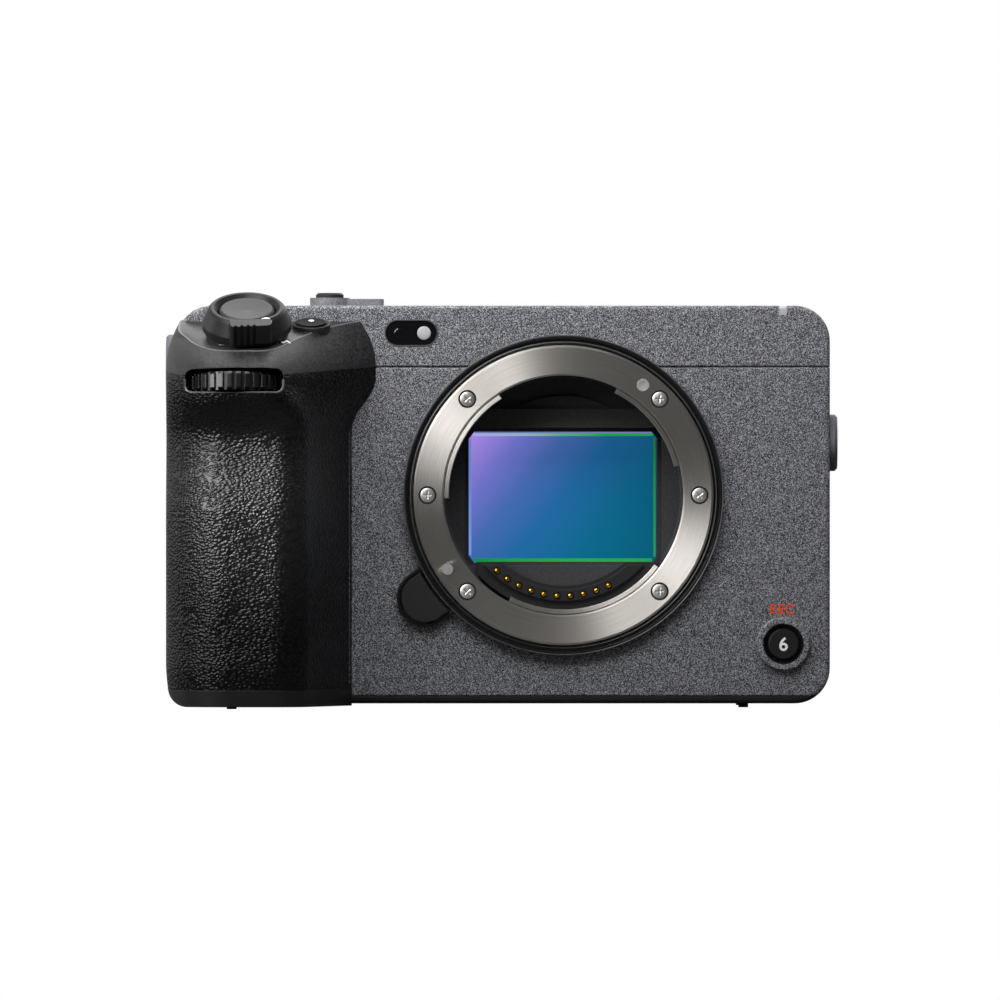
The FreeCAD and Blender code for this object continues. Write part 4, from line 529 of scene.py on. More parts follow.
def mottle(mat, size, stops, depth):
    """Random grains of a size in millimetres: colour stops by chance, and bumps that follow them."""
    place = add(mat, "ShaderNodeTexCoord")
    cells = add(mat, "ShaderNodeTexVoronoi", feature="F1", Scale=1.0 / (size * MM), Randomness=1.0)
    link(mat, place, "Object", cells, "Vector")
    colour_by(mat, cells, "Color", toned(stops))
    bump(mat, cells, "Color", depth)
    return mat


def toned(stops):
    """Stops (place, red, green and blue as the eye reads them) with the linear colours of a shader."""
    return [(at, tone(*colour)) for at, colour in stops]


def colour_by(mat, start, out, stops):
    """Colours a surface along a ramp of stops (place, colour) that a node's output runs through."""
    ramp = add(mat, "ShaderNodeValToRGB")
    elements = ramp.color_ramp.elements
    for index, (at, colour) in enumerate(stops):
        element = elements[index] if index < 2 else elements.new(at)
        element.position = at
        element.color = colour
    link(mat, start, out, ramp, "Fac")
    link(mat, ramp, "Color", shader_of(mat), "Base Color")
    return ramp


def speckled_paint():
    """Charcoal paint with fine lighter and darker grains of about 0.14 mm."""
    mat = surface("speckled_paint", tone(88, 89, 94), 0.6, specular=0.15, edge=0.35)
    stops = ((0.15, (28, 29, 33)), (0.5, (80, 81, 87)), (0.85, (172, 173, 178)))
    return mottle(mat, PAINT_GRAIN, stops, 0.012)


def cap_plastic():
    """Dark grey moulded plastic of the grip's cap, with a fine visible grain."""
    mat = surface("cap_plastic", tone(40, 40, 41), 0.42, specular=0.5, edge=0.3)
    return mottle(mat, CAP_GRAIN, ((0.15, (12, 12, 13)), (0.5, (26, 26, 27)), (0.85, (50, 50, 52))), 0.035)


def wrinkled_leather():
    """Black leather: rounded pebbles of about 0.7 by 0.5 mm in drifting rows, with painted shade in the
    creases.
    """
    mat = surface("wrinkled_leather", tone(20, 20, 21), 0.31)
    place = add(mat, "ShaderNodeTexCoord")
    drift = add(mat, "ShaderNodeTexNoise", Scale=110.0, Detail=2.0)
    push = vector(mat, "MULTIPLY_ADD", drift, "Color", (PEBBLE_DRIFT,) * 3)
    squeeze = add(mat, "ShaderNodeMapping", Scale=(0.85, 0.85, 1.25))
    cells = add(mat, "ShaderNodeTexVoronoi", feature="SMOOTH_F1", Scale=PEBBLES, Smoothness=0.2)
    fine = add(mat, "ShaderNodeTexNoise", Scale=3000.0, Detail=2.0)
    height = number(mat, "MULTIPLY_ADD", fine, "Fac", 0.2)
    link(mat, place, "Object", drift, "Vector")
    link(mat, place, "Object", push, 2)
    link(mat, push, "Vector", squeeze, "Vector")
    link(mat, squeeze, "Vector", cells, "Vector")
    link(mat, place, "Object", fine, "Vector")
    fall = spread(mat, cells, "Distance", 0.1, 0.75, 1.0, 0.0)
    link(mat, fall, "Result", height, 2)
    bump(mat, height, "Value", 0.14)
    # Painted shade: the colour falls to black in the creases between the pebbles, as the height does
    colour_by(mat, fall, "Result", toned(((0.0, (0, 0, 0)), (1.0, (14, 14, 15)))))
    leather_wear_and_painted_sheen(mat, place)
    return mat


def leather_wear_and_painted_sheen(mat, place):
    """More shine where the fingers rub and where the highlight falls, partly wear and partly a painted
    highlight: it falls off from a spot on the swell of the grip.
    """
    away = vector(mat, "SUBTRACT", place, "Object", [value * MM for value in SHINE_SPOT])
    stretch = vector(mat, "MULTIPLY", away, "Vector", (1.0, 0.6, 0.8))
    reach = vector(mat, "LENGTH", stretch, "Vector")
    fade = spread(mat, reach, "Value", 0.0, SHINE_REACH * MM, 1.0, SHINE_LEAST, "SMOOTHSTEP")
    link(mat, fade, "Result", shader_of(mat), "Specular IOR Level")


def moulded_plastic(name, dark, light, roughness, size=0.12, depth=0.006, edge=0.25, specular=0.5):
    """Moulded plastic with a fine spark-eroded grain."""
    mat = surface(name, light, roughness, specular=specular, edge=edge)
    return grain(mat, size, (dark, light), depth=depth, uneven=0.05)


def turned_steel():
    """Steel turned round the lens axis: fine rings, and gloss that spreads along the radius."""
    mat = surface("turned_steel", tone(196, 190, 184), 0.5, metallic=1.0, Anisotropic=0.93)
    place = add(mat, "ShaderNodeTexCoord")
    centre = vector(mat, "SUBTRACT", place, "Object", (0.0, 0.0, AXIS_Z * MM))
    flat = vector(mat, "MULTIPLY", centre, "Vector", (1.0, 0.0, 1.0))
    length = vector(mat, "LENGTH", flat, "Vector")
    unit = vector(mat, "NORMALIZE", flat, "Vector")
    across = number(mat, "MULTIPLY", length, "Value", TURNED_LINES)
    rings = add(mat, "ShaderNodeCombineXYZ")
    along = vector(mat, "MULTIPLY_ADD", unit, "Vector", (5.0, 5.0, 5.0))
    lines = add(mat, "ShaderNodeTexNoise", Scale=1.0, Detail=3.0, Roughness=0.7)
    link(mat, across, "Value", rings, "X")
    link(mat, rings, "Vector", along, 2)
    link(mat, along, "Vector", lines, "Vector")
    colour_by(mat, lines, "Fac", toned(((0.25, (200, 194, 188)), (0.75, (232, 228, 222)))))
    link(mat, unit, "Vector", shader_of(mat), "Tangent")
    bump(mat, lines, "Fac", 0.001, 0.4)
    return mat


def plain_metal(name, dark, light, roughness, edge):
    """Bright metal with a faint cloudiness."""
    mat = surface(name, light, roughness, metallic=1.0, edge=edge)
    return grain(mat, 0.3, (dark, light), depth=0.002, uneven=0.06)


def sensor_painted_reflection():
    """Coated sensor filter with painted reflection and glow: lavender at the upper left, through blue, to
    teal at the lower right.
    """
    mat = surface("coated_sensor", tone(30, 100, 156), 0.3, specular=0.2)
    low, high = (np.array(c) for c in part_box("sensor_glass"))
    span = high - low
    slope = np.array([SENSOR_SLOPE[0] / span[0], 0.0, SENSOR_SLOPE[1] / span[2]])
    place = add(mat, "ShaderNodeTexCoord")
    along = vector(mat, "DOT_PRODUCT", place, "Object", slope)
    shift = number(mat, "SUBTRACT", along, "Value", float(slope[0] * low[0] + slope[2] * high[2]))
    stops = ((0.02, (182, 146, 246)), (0.2, (114, 118, 206)), (0.34, (66, 102, 170)),
             (0.5, (28, 94, 148)), (0.72, (4, 90, 122)), (1.0, (0, 82, 104)))
    return colour_with_painted_glow(mat, shift, "Value", stops, SENSOR_PAINTED_GLOW)


def colour_with_painted_glow(mat, start, out, stops, strength):
    """Colours a surface along a ramp, and paints light on it: it glows by itself in the same colours."""
    ramp = colour_by(mat, start, out, toned(stops))
    link(mat, ramp, "Color", shader_of(mat), "Emission Color")
    shader_of(mat).inputs["Emission Strength"].default_value = strength
    return mat


def filter_edge():
    """Painted light in the edge of the sensor's filter, a glowing colour: pale violet at the left, then
    green.
    """
    mat = surface("filter_edge", tone(24, 176, 84), 0.4)
    low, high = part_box("sensor_glass")
    place = add(mat, "ShaderNodeTexCoord")
    parts = add(mat, "ShaderNodeSeparateXYZ")
    link(mat, place, "Object", parts, "Vector")
    part = spread(mat, parts, "X", low[0], high[0])
    stops = ((0.05, (186, 196, 240)), (0.3, (160, 204, 214)), (0.5, (96, 190, 150)),
             (0.72, (14, 184, 72)), (1.0, (60, 170, 96)))
    return colour_with_painted_glow(mat, part, "Result", stops, EDGE_PAINTED_GLOW)


def mark_paint(name, colour):
    """Printed marking paint with a faint unevenness."""
    mat = surface(name, colour, 0.5)
    pale = tuple(min(1.0, c * 1.06) for c in colour[:3]) + (1.0,)
    return grain(mat, 0.2, (colour, pale), 0.35, 0.65, depth=0.002)


def glowing(name, colour, strength):
    """Light caught in the edge of the glass filter: a colour that shines a little."""
    mat = mark_paint(name, tone(*colour))
    shader_of(mat).inputs["Emission Color"].default_value = tone(*colour)
    shader_of(mat).inputs["Emission Strength"].default_value = strength
    return mat


def smooth_step(value, low, high):
    """A smooth rise from 0 at low to 1 at high."""
    part = np.clip((value - low) / (high - low), 0.0, 1.0)
    return part * part * (3 - 2 * part)


def grip_level(z):
    """Left side, front, right side and fold of the grip at heights.

    The base tapers in, the front falls back in a hollow for the middle finger, the right side swells
    out under the head, the fold moves to the left there, and the head leans in towards its top.
    """
    taper = GRIP_TAPER * (1 - smooth_step(z, GRIP_LOW, GRIP_TAPER_TOP))
    hollow = GRIP_HOLLOW * (smooth_step(z, GRIP_HOLLOW_Z - GRIP_HOLLOW_H, GRIP_HOLLOW_Z)
                            - smooth_step(z, GRIP_HOLLOW_Z, GRIP_HOLLOW_Z + GRIP_HOLLOW_H * 0.6))
    lean = np.maximum(z - GRIP_LEAN_Z, 0.0) ** 2 * GRIP_LEAN
    brow = np.maximum(z - GRIP_BROW_Z, 0.0) ** 1.5 * GRIP_BROW
    head = smooth_step(z, GRIP_SWELL_Z, GRIP_SWELL_Z + GRIP_SWELL_H)
    swell = (GRIP_HEAD_RIGHT - GRIP_RIGHT) * head
    return (GRIP_LEFT + taper * 0.6 + lean * 0.8, GRIP_FRONT + taper + hollow + brow,
            GRIP_RIGHT + swell - lean, GRIP_FOLD_X - GRIP_FOLD_SHIFT * head)


def grip_path(z, inset=0.0):
    """Outline of the grip at heights z, as rows of points from the wrapped side to the body's front.

    A straight side, a quarter circle, a straight front, an arc round the fold and a slanted straight.
    """
    left, front, right, crease = grip_level(z)
    rise, run = BODY_FRONT - front, right - crease
    slant = np.arctan2(rise, run)
    shift = inset * np.hypot(run, rise) / rise
    fold = crease - shift + inset * run / rise
    most = rise * 0.8
    round_r = np.minimum(GRIP_FRONT_R, most) - inset
    fold_r = np.minimum(GRIP_FOLD_R, most) - inset
    side, face, end = left + inset, front + inset, right - shift
    part = np.linspace(0, 1, 25)[:, None]
    turn = math.pi + part * math.pi / 2
    bend = -math.pi / 2 + part * slant
    reach = fold_r * np.tan(slant / 2)
    bend_x = fold - reach + fold_r * np.cos(bend)
    bend_y = face + fold_r + fold_r * np.sin(bend)
    pieces_x = [side + 0 * part, side + round_r + round_r * np.cos(turn),
                side + round_r + (fold - reach - side - round_r) * part, bend_x,
                bend_x[-1] + (end - bend_x[-1]) * part, end + 0 * part[:2]]
    pieces_y = [GRIP_WRAP_Y + (face + round_r - GRIP_WRAP_Y) * part, face + round_r + round_r * np.sin(turn),
                face + 0 * part, bend_y, bend_y[-1] + (BODY_FRONT - bend_y[-1]) * part,
                BODY_FRONT + part[:2] * 24.0]
    x = np.concatenate([np.broadcast_to(p, (p.shape[0], len(z))) for p in pieces_x]).T
    y = np.concatenate([np.broadcast_to(p, (p.shape[0], len(z))) for p in pieces_y]).T
    keep = np.concatenate([[True], np.abs(np.diff(x[0])) + np.abs(np.diff(y[0])) > 1e-6])
    return np.stack([x, y, np.broadcast_to(z[:, None], x.shape)], -1)[:, keep]


def grip_block(name, low, high, rows, inset=0.0):
    """The grip's whole form between two heights as a closed solid, its back edge inside the body."""
    z = np.linspace(low, high, rows)
    outline = grip_path(z, inset)
    inner_x = BODY_LEFT + GRIP_WALL
    back = BODY_FRONT + 1.0
    closing = np.stack([np.broadcast_to((inner_x, back, 0.0), (rows, 3)),
                        np.broadcast_to((inner_x, GRIP_WRAP_Y, 0.0), (rows, 3))], 1) + 0.0
    closing[:, :, 2] = z[:, None]
    outline[:, -1, 1] = back
    points = np.concatenate([outline, closing], 1)
    return mesh_object(name, points, rod_faces(rows, points.shape[1]))


def leaning_block(low_z, tilt, hinge_y, high=60.0):
    """A large block above a plane that passes through a height at a depth and leans by an angle."""
    side = 200.0
    square = ((-side, -side), (side, -side), (side, side), (-side, side))
    corners = np.array([(x, y, z) for z in (0.0, high) for x, y in square])
    turn = math.radians(tilt)
    y = corners[:, 1] * math.cos(turn) - corners[:, 2] * math.sin(turn)
    z = corners[:, 1] * math.sin(turn) + corners[:, 2] * math.cos(turn)
    points = np.stack([corners[:, 0], y + hinge_y, z + low_z], -1)
    return mesh_object("cutter", points, rod_faces(2, 4))


def cylinder(centre, axis, radius, low, high, steps=72):
    """A cutter or collar: a round rod between two heights along an axis."""
    return lathe("cutter", [(0.0, low), (radius, low), (radius, high), (0.0, high)], centre, axis, steps)


def combine(obj, operation, *tools):
    """Cuts tools from an object, or joins them, one after the other, and removes them."""
    for tool in tools:
        step = obj.modifiers.new("shape", "BOOLEAN")
        step.operation = operation
        step.solver = "EXACT"
        step.object = tool
        graph = bpy.context.evaluated_depsgraph_get()
        mesh = bpy.data.meshes.new_from_object(obj.evaluated_get(graph))
        obj.modifiers.clear()
        obj.data = mesh
        bpy.data.objects.remove(tool)


def cap_ledge():
    """What the cap lacks behind its sloping top, where it runs level."""
    flat = round_box(-200.0, 200.0, CAP_TOP_Z, CAP_TOP_Z + 100.0, 0.01, 2)
    return slab("cutter", facing_front(flat, CAP_TOP_Y), (0, 100.0, 0))


def casing_cutter():
    """The body's own outline, rounded at its corners, to clear the grip from the body."""
    left, right, top = BODY_LEFT + CORNER_R, BODY_RIGHT - CORNER_R, BODY_TOP - CORNER_R
    low_left = (BODY_LEFT + LOW_LEFT_R, LOW_LEFT_R, LOW_LEFT_R)
    flat = round_corners((right, top, CORNER_R), (left, top, CORNER_R), low_left, (right, CORNER_R, CORNER_R),
                         steps=13)
    return slab("cutter", facing_front(flat, BODY_FRONT), (0, BODY_BACK - BODY_FRONT, 0))


def dial_pocket():
    """The round pocket that the front dial turns in."""
    half = DIAL_T / 2 + DIAL_GAP
    return cylinder(DIAL_CENTRE, axis_of(-DIAL_TILT), DIAL_R + DIAL_GAP, -half - POCKET_EXTRA, half)


def dial_slot():
    """The slot in front of the dial, where a finger reaches it: a rounded box pushed out along its tilt."""
    x, y, z = DIAL_CENTRE
    half = DIAL_R - SLOT_INSET
    flat = round_box(x - half, x + half, z - SLOT_HALF, z + SLOT_HALF, SLOT_CORNER)
    out = axis_of(-DIAL_TILT)
    return slab("cutter", facing_front(flat, y), (0.0, -20.0 * out[2], 20.0 * out[1]))


def make_grip(finish):
    """Leather-covered shell and plastic cap of the grip, with smooth walls and the dial's slot."""
    leather = grip_block("grip_leather", GRIP_BASE_TOP, CAP_SEAM_Z + 2.0, 150)
    hollow = grip_block("cutter", GRIP_BASE_TOP - 2.0, CAP_SEAM_Z + 3.0, 60, GRIP_WALL)
    above = leaning_block(CAP_SEAM_Z, CAP_SEAM_TILT, BODY_FRONT)
    combine(leather, "DIFFERENCE", hollow, above, casing_cutter(), dial_pocket(), dial_slot())
    dress(leather, "camera", finish["leather"], ("grip_shell",))

    cap = grip_block("grip_cap_skin", CAP_SEAM_Z - 3.0, cap_height(BODY_FRONT) + 1.0, 110)
    below = leaning_block(CAP_SEAM_Z, CAP_SEAM_TILT, BODY_FRONT, -60.0)
    slope = leaning_block(CAP_TOP_Z, CAP_TOP_TILT, CAP_TOP_Y)
    lean = axis_of(LEVER_TILT)
    seat = np.array(LEVER_TOP) - lean * LEVER_T
    well = np.array([GRIP_BUTTON_X, GRIP_BUTTON_Y, cap_height(GRIP_BUTTON_Y)])
    out = axis_of(CAP_TOP_TILT)
    skirt = cylinder(seat, lean, LEVER_SKIRT_R - SKIRT_INSET, *SKIRT_SPAN)
    collar = cylinder(seat, lean, SHUTTER_BUTTON_R + COLLAR_WALL, -COLLAR_SINK, LEVER_T - COLLAR_DROP)
    shutter_well = cylinder(seat, lean, SHUTTER_BUTTON_R + BUTTON_GAP, *SHUTTER_WELL)
    ring = cylinder(well, out, GRIP_BUTTON_RING_R, -COLLAR_SINK, GRIP_BUTTON_RISE - RING_DROP)
    button_well = cylinder(well, out, GRIP_BUTTON_R + BUTTON_GAP, *BUTTON_WELL)
    combine(cap, "DIFFERENCE", below, slope, cap_ledge(), casing_cutter())
    combine(cap, "UNION", skirt, collar)
    combine(cap, "DIFFERENCE", shutter_well)
    combine(cap, "UNION", ring)
    combine(cap, "DIFFERENCE", button_well, dial_pocket(), dial_slot())
    dress(cap, "camera", finish["cap_plastic"], ("grip_cap",))


def cap_height(y):
    """Height of the cap's sloping top at a depth."""
    return CAP_TOP_Z + (y - CAP_TOP_Y) * math.tan(math.radians(CAP_TOP_TILT))


def dress(obj, body, mat, replaced=()):
    """Gives a new piece its finish, its body and its slot, and hides the nodes that it stands for."""
    tidy_mesh(obj.data, 0.002, 28.0)
    obj.data.materials.clear()
    obj.data.materials.append(mat)
    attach(obj, body)
    if replaced:
        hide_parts(*replaced)


def finish_nodes(finish):
    """Every node that stays gets its own finish."""
    plan = {
        "paint": ("top_cover", "front_cover", "rear_cover", "left_cover", "right_cover", "card_door",
                  "port_door_upper", "port_door_lower"),
        "satin_black": ("battery_door", "battery_latch", "zoom_lever", "front_button",
                        "monitor_case", "control_wheel", "menu_button", "play_button", "rear_dial",
                        "sockets", "card_reader", "dial_axle", "base_plate", "grip_base"),
        "bezel_black": ("mount_bezel", "front_dial"),
        "matt_black": ("grip_button",),
        "soft_black": ("release_button", "wheel_button", "joystick", "rec_button", "contact_block"),
        "button_grey": ("shutter_button",),
        "switch_grey": ("power_switch", "monitor_hinge", "accessory_shoe"),
        "steel": ("mount_ring",),
        "bright_steel": ("screws",),
        "screw_head": ("lock_pin",),
        "boss_metal": ("thread_bushes",),
        "gold": ("contact_pins",),
        "chamber": ("light_chamber", "shutter_frame", "shutter_blade_1", "shutter_blade_2",
                    "shutter_blade_3"),
        "sensor": ("image_sensor", "sensor_glass"),
        "smoked": ("remote_window", "monitor_glass"),
        "lamp": ("tally_lamp",),
        "cast": ("chassis", "sensor_carriage", "stabiliser_slide", "stabiliser_base"),
        "board": ("main_board",),
        "inner": ("fan_housing", "fan_rotor", "battery_chamber", "battery"),
    }
    for name, nodes in plan.items():
        for node in nodes:
            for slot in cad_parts[node].material_slots:
                slot.material = finish[name]


def make_finishes():
    """All the finishes by a short name."""
    finish = {
        "paint": speckled_paint(),
        "leather": wrinkled_leather(),
        "cap_plastic": cap_plastic(),
        "steel": turned_steel(),
        "sensor": sensor_painted_reflection(),
        "filter_edge": filter_edge(),
    }
    for key, (name, dark, light, roughness, more) in PLASTICS.items():
        finish[key] = moulded_plastic(name, tone(*dark), tone(*light), roughness, **more)
    for key, (name, dark, light, roughness, edge) in METALS.items():
        finish[key] = plain_metal(name, tone(*dark), tone(*light), roughness, edge)
    for key, (name, colour) in MARKS.items():
        finish[key] = mark_paint(name, tone(*colour))
    for key, (colour, strength) in GLOWS.items():
        finish[key] = glowing(key, colour, strength)
    return finish


def words(name, text, size, centre, lay, finish, body, bold=0.0):
    """Flat letters at a centre, a hair proud of the surface they lie on; lay is their right and up."""
    curve = bpy.data.curves.new(name, "FONT")
    curve.body = text
    curve.size = size * MM
    curve.extrude = LETTER_THICK * MM
    curve.offset = bold * MM
    curve.align_x = "CENTER"
    curve.align_y = "CENTER"
    holder = bpy.data.objects.new(name, curve)
    bpy.context.collection.objects.link(holder)
    graph = bpy.context.evaluated_depsgraph_get()
    mesh = bpy.data.meshes.new_from_object(holder.evaluated_get(graph))
    bpy.data.objects.remove(holder)
    flat = np.empty(len(mesh.vertices) * 3)
    mesh.vertices.foreach_get("co", flat)
    flat = flat.reshape(-1, 3)
    flat[:, :2] -= (flat[:, :2].min(0) + flat[:, :2].max(0)) / 2
    right, up = (np.asarray(v, float) for v in lay)
    points = np.asarray(centre) * MM + flat @ np.array([right, up, np.cross(right, up)])
    mesh.vertices.foreach_set("co", points.ravel())
    obj = bpy.data.objects.new(name, mesh)
    bpy.context.collection.objects.link(obj)
    dress(obj, body, finish)
    return obj


def make_mount_details(finish):
    """The index dot on the ring and a raised strip on each bayonet tab."""
    profile = [(0, -0.02), (0.75, -0.06), (1.05, -0.14), (1.18, -0.12), (1.22, 0.05), (0, 0.05)]
    dot = lathe("lens_index_dot", profile, around(INDEX_R, INDEX_ANGLE, FLANGE_Y), INWARD, 48)
    dress(dot, "camera", finish["index_silver"])
    for index, (low, high) in enumerate(TAB_SPANS):
        face = tab_face(f"mount_tab_{index + 1}", low + 0.3, high - 0.3)
        dress(face, "camera", finish["steel"])


def tab_face(name, low, high):
    """A raised strip on a bayonet tab: a bevelled section carried round the lens axis between two angles."""
    front, back = (FLANGE_Y + depth for depth in TAB_DEPTH)
    inner, outer = (TAB_R + width for width in TAB_WIDTH)
    section = ((inner, back), (inner, front + TAB_SOFT), (inner + TAB_SOFT, front), (outer - TAB_SOFT, front),
               (outer, front + TAB_SOFT), (outer, back))
    angles = np.linspace(low, high, 60)
    points = np.stack([around(radius, angles, y) for radius, y in section], 1)
    return mesh_object(name, points, rod_faces(len(angles), len(section)))


def cross_head(name, spot, radius, rise, turn):
    """A domed screw head with a cross recess.

    On a polar grid the height falls from its middle as the square of the radius and drops at the rim;
    two crossing slots of a rounded section are pressed into it, deepest in the middle.
    """
    rows, steps = 40, 120
    reach = np.linspace(0.0, 1.0, rows)[:, None]
    angle = np.linspace(0, 2 * math.pi, steps, endpoint=False)[None]
    flat_x, flat_z = reach * np.cos(angle), reach * np.sin(angle)
    height = rise * (1.0 - 0.55 * reach ** 2) * np.sqrt(np.clip(1.0 - reach ** 8, 0.0, 1.0))
    c, s = math.cos(turn), math.sin(turn)
    for along, across in ((flat_x * c + flat_z * s, flat_z * c - flat_x * s),
                          (flat_z * c - flat_x * s, flat_x * c + flat_z * s)):
        slot = np.clip(1.0 - (across / 0.15) ** 2, 0.0, 1.0) * np.clip(1.0 - (along / 0.6) ** 4, 0.0, 1.0)
        height = height - 0.55 * rise * slot * (1.0 - 0.35 * np.abs(along))
    x, y, z = spot
    points = np.stack([x + radius * flat_x, y - height, z + radius * flat_z], -1)
    return mesh_object(name, points, grid_faces(rows, steps, False, True), merge=0.0005)


def make_screw_heads(finish):
    """Six cross-head screws in the mount ring, and a dark ring of painted shade in the gap round each."""
    outer = SCREW_HEAD_R + SCREW_SHADE_WIDTH
    rim = [(SCREW_HEAD_R, 0.0), (SCREW_HEAD_R, -0.03), (outer, -0.03), (outer + 0.02, 0.0)]
    first, step = SCREW_TURN
    for index, angle in enumerate(SCREW_ANGLES):
        spot = around(SCREW_RING_R, angle, FLANGE_Y)
        turn = math.radians(first + step * index)
        head = cross_head(f"screw_head_{index + 1}", spot, SCREW_HEAD_R, SCREW_HEAD_RISE, turn)
        dress(head, "camera", finish["screw_head"])
        gap = lathe(f"screw_painted_shade_{index + 1}", rim, spot, INWARD, 64)
        dress(gap, "camera", finish["screw_painted_shade"])


def grip_front_y(x, z):
    """Depth of the grip's surface at a place of the front view."""
    row = grip_path(np.array([z]))[0]
    return float(np.interp(x, row[:, 0], row[:, 1]))


def make_slot_rim(finish):
    """The bevelled lip along the lower edge and the low corners of the dial's slot: black glossy plastic,
    made grey as a painted highlight.
    """
    x, y, z = DIAL_CENTRE
    half = DIAL_R - SLOT_INSET
    low = z - SLOT_HALF + math.tan(math.radians(DIAL_TILT)) * (abs(GRIP_FRONT) - abs(y))
    straight, rise = half - SLOT_CORNER, low + SLOT_CORNER
    side = [(half, low + SLOT_RIM_RISE)]
    side += [(straight + SLOT_CORNER * math.cos(bend), rise - SLOT_CORNER * math.sin(bend))
             for bend in np.linspace(0, math.pi / 2, 9)]
    flat = [(x - away, height) for away, height in side] + [(x + away, height) for away, height in side[::-1]]
    path = [(px, grip_front_y(px, pz) + 0.05, pz) for px, pz in flat]
    rim = tube("dial_slot_rim", path, SLOT_WIRE, closed=False)
    dress(rim, "camera", finish["lip_painted_highlight"])


def make_cap_edge(finish):
    """The light line where the cap's sloping top meets its front, a painted highlight, found by stepping
    through heights.
    """
    z = np.linspace(CAP_SEAM_Z, CAP_TOP_Z, 400)
    rows = grip_path(z)
    above = rows[:, :, 2] - cap_height(rows[:, :, 1])
    path = []
    for column in range(rows.shape[1]):
        level = np.interp(0.0, above[:, column], z)
        x, y = (np.interp(level, z, rows[:, column, axis]) for axis in (0, 1))
        inside = CAP_SEAM_Z + 1.0 < level < CAP_TOP_Z - 0.15 and y < CAP_TOP_Y
        if inside and x > CAP_EDGE_START and (not path or math.dist(path[-1], (x, y, level)) > 0.25):
            path.append((x, y, level))
    line = tube("cap_edge", np.array(path) + (0.0, 0.03, -0.03), EDGE_WIRE, closed=False)
    dress(line, "camera", finish["edge_painted_highlight"])


def make_welt(finish):
    """The stitched welt down the grip's inner edge: a thin cord that swells at each stitch."""
    z = np.arange(GRIP_BASE_TOP + 1.0, GRIP_SWELL_Z - 0.5, 0.1)
    _, front, right, crease = grip_level(z)
    y = BODY_FRONT - WELT_INSET * (BODY_FRONT - front) / (right - crease)
    swell = WELT_WIRE + WELT_SWELL * np.clip(np.sin(2 * math.pi * z / WELT_PITCH), 0.0, 1.0)
    cord = tube("grip_welt", np.stack([right - WELT_INSET, y, z], -1), swell, closed=False, sides=8)
    dress(cord, "camera", finish["ridge_grey"])


def make_bezel_lines(finish):
    """Two fine rounded ridges on the black bezel, grey as a painted highlight of the light lines along it."""
    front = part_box("mount_bezel")[0][1] / MM
    section = ((-0.14, 0.12), (-0.1, -0.02), (0.0, -0.06), (0.1, -0.02), (0.14, 0.12))
    for index, radius in enumerate(BEZEL_RIDGES):
        profile = [(radius + away, height) for away, height in section]
        ridge = lathe(f"bezel_ridge_{index + 1}", profile, (0.0, front, AXIS_Z), INWARD, 256)
        dress(ridge, "camera", finish["ridge_grey"])


def make_front_marks(finish):
    """The number on the small front button and the record word over it, in plain letters."""
    x, y, z = button_place()
    words("button_number", "6", NUMBER_SIZE, (x, y, z), FRONT_LAY, finish["white_mark"], "front_button",
          0.06)
    words("record_word", "REC", RECORD_SIZE, (x - 0.25, BODY_FRONT, z + RECORD_WORD_RISE), FRONT_LAY,
          finish["orange_mark"], "camera", 0.035)


def button_place():
    """The middle of the small front button's face."""
    low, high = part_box("front_button")
    return (low[0] + high[0]) / 2 / MM, low[1] / MM, (low[2] + high[2]) / 2 / MM


def make_button_recess(finish):
    """Black lining of the recess round the small front button."""
    x, _, z = button_place()
    front = BODY_FRONT - 0.85
    profile = [(RECESS_R, front), (RECESS_R - 0.1, front + 0.05), (RECESS_R - 0.12, BODY_FRONT + 0.35),
               (RECESS_INNER_R, BODY_FRONT + 0.4), (RECESS_INNER_R, BODY_FRONT + 0.5),
               (RECESS_R, BODY_FRONT + 0.5)]
    lining = lathe("button_recess", profile, (x, 0.0, z), INWARD, 96)
    dress(lining, "camera", finish["deep_black"])


def make_cap_marks(finish):
    """The zoom letters on the cap's sloping top, read from behind, and the dot on the grip button."""
    turn = math.radians(CAP_TOP_TILT)
    slope = np.array([0.0, math.cos(turn), math.sin(turn)])
    behind = ((-1.0, 0.0, 0.0), -slope)
    for letter, x, y in ZOOM_LETTERS:
        words(f"zoom_letter_{letter}", letter, ZOOM_SIZE, (x, y, cap_height(y) + 0.03), behind,
              finish["white_mark"], "camera", 0.05)
    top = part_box("grip_button")[1][2] / MM - GRIP_BUTTON_R * math.sin(turn)
    well_z = cap_height(GRIP_BUTTON_Y)
    out = axis_of(CAP_TOP_TILT)
    spot = np.array([GRIP_BUTTON_X, GRIP_BUTTON_Y, well_z]) + out * (top - well_z) / out[2]
    dot = lathe("grip_button_dot", [(0, 0.03), (0.5, 0.03), (0.56, 0.0), (0.56, -0.05), (0, -0.05)],
                spot + 0.9 * slope, out, 32)
    dress(dot, "grip_button", finish["white_mark"])


def make_lever_mark(finish):
    """White index mark on the zoom lever's rim: a thin closed strip laid over its upper edge."""
    side, across, up = frame_of(axis_of(LEVER_TILT))
    section = ((5.75, -0.2), (6.6, 0.02), (7.2, 0.02), (7.55, -0.5))
    loop = [(radius, height + 0.03) for radius, height in section]
    loop += [(radius, height - 0.1) for radius, height in reversed(section)]
    turn = np.radians(LEVER_MARK_TURN + np.linspace(-5.0, 5.0, 9))
    rows = [[np.array(LEVER_TOP) + radius * (math.cos(t) * side + math.sin(t) * across) + height * up
             for radius, height in loop] for t in turn]
    count = len(loop)
    faces = grid_faces(len(turn), count, False, True).tolist()
    last = (len(turn) - 1) * count
    for start in (0, last):
        faces += [[start + j, start + j + 1, start + count - j - 2, start + count - j - 1]
                  for j in range(len(section) - 1)]
    mark = mesh_object("lever_mark", np.array(rows), faces)
    dress(mark, "zoom_lever", finish["white_mark"])


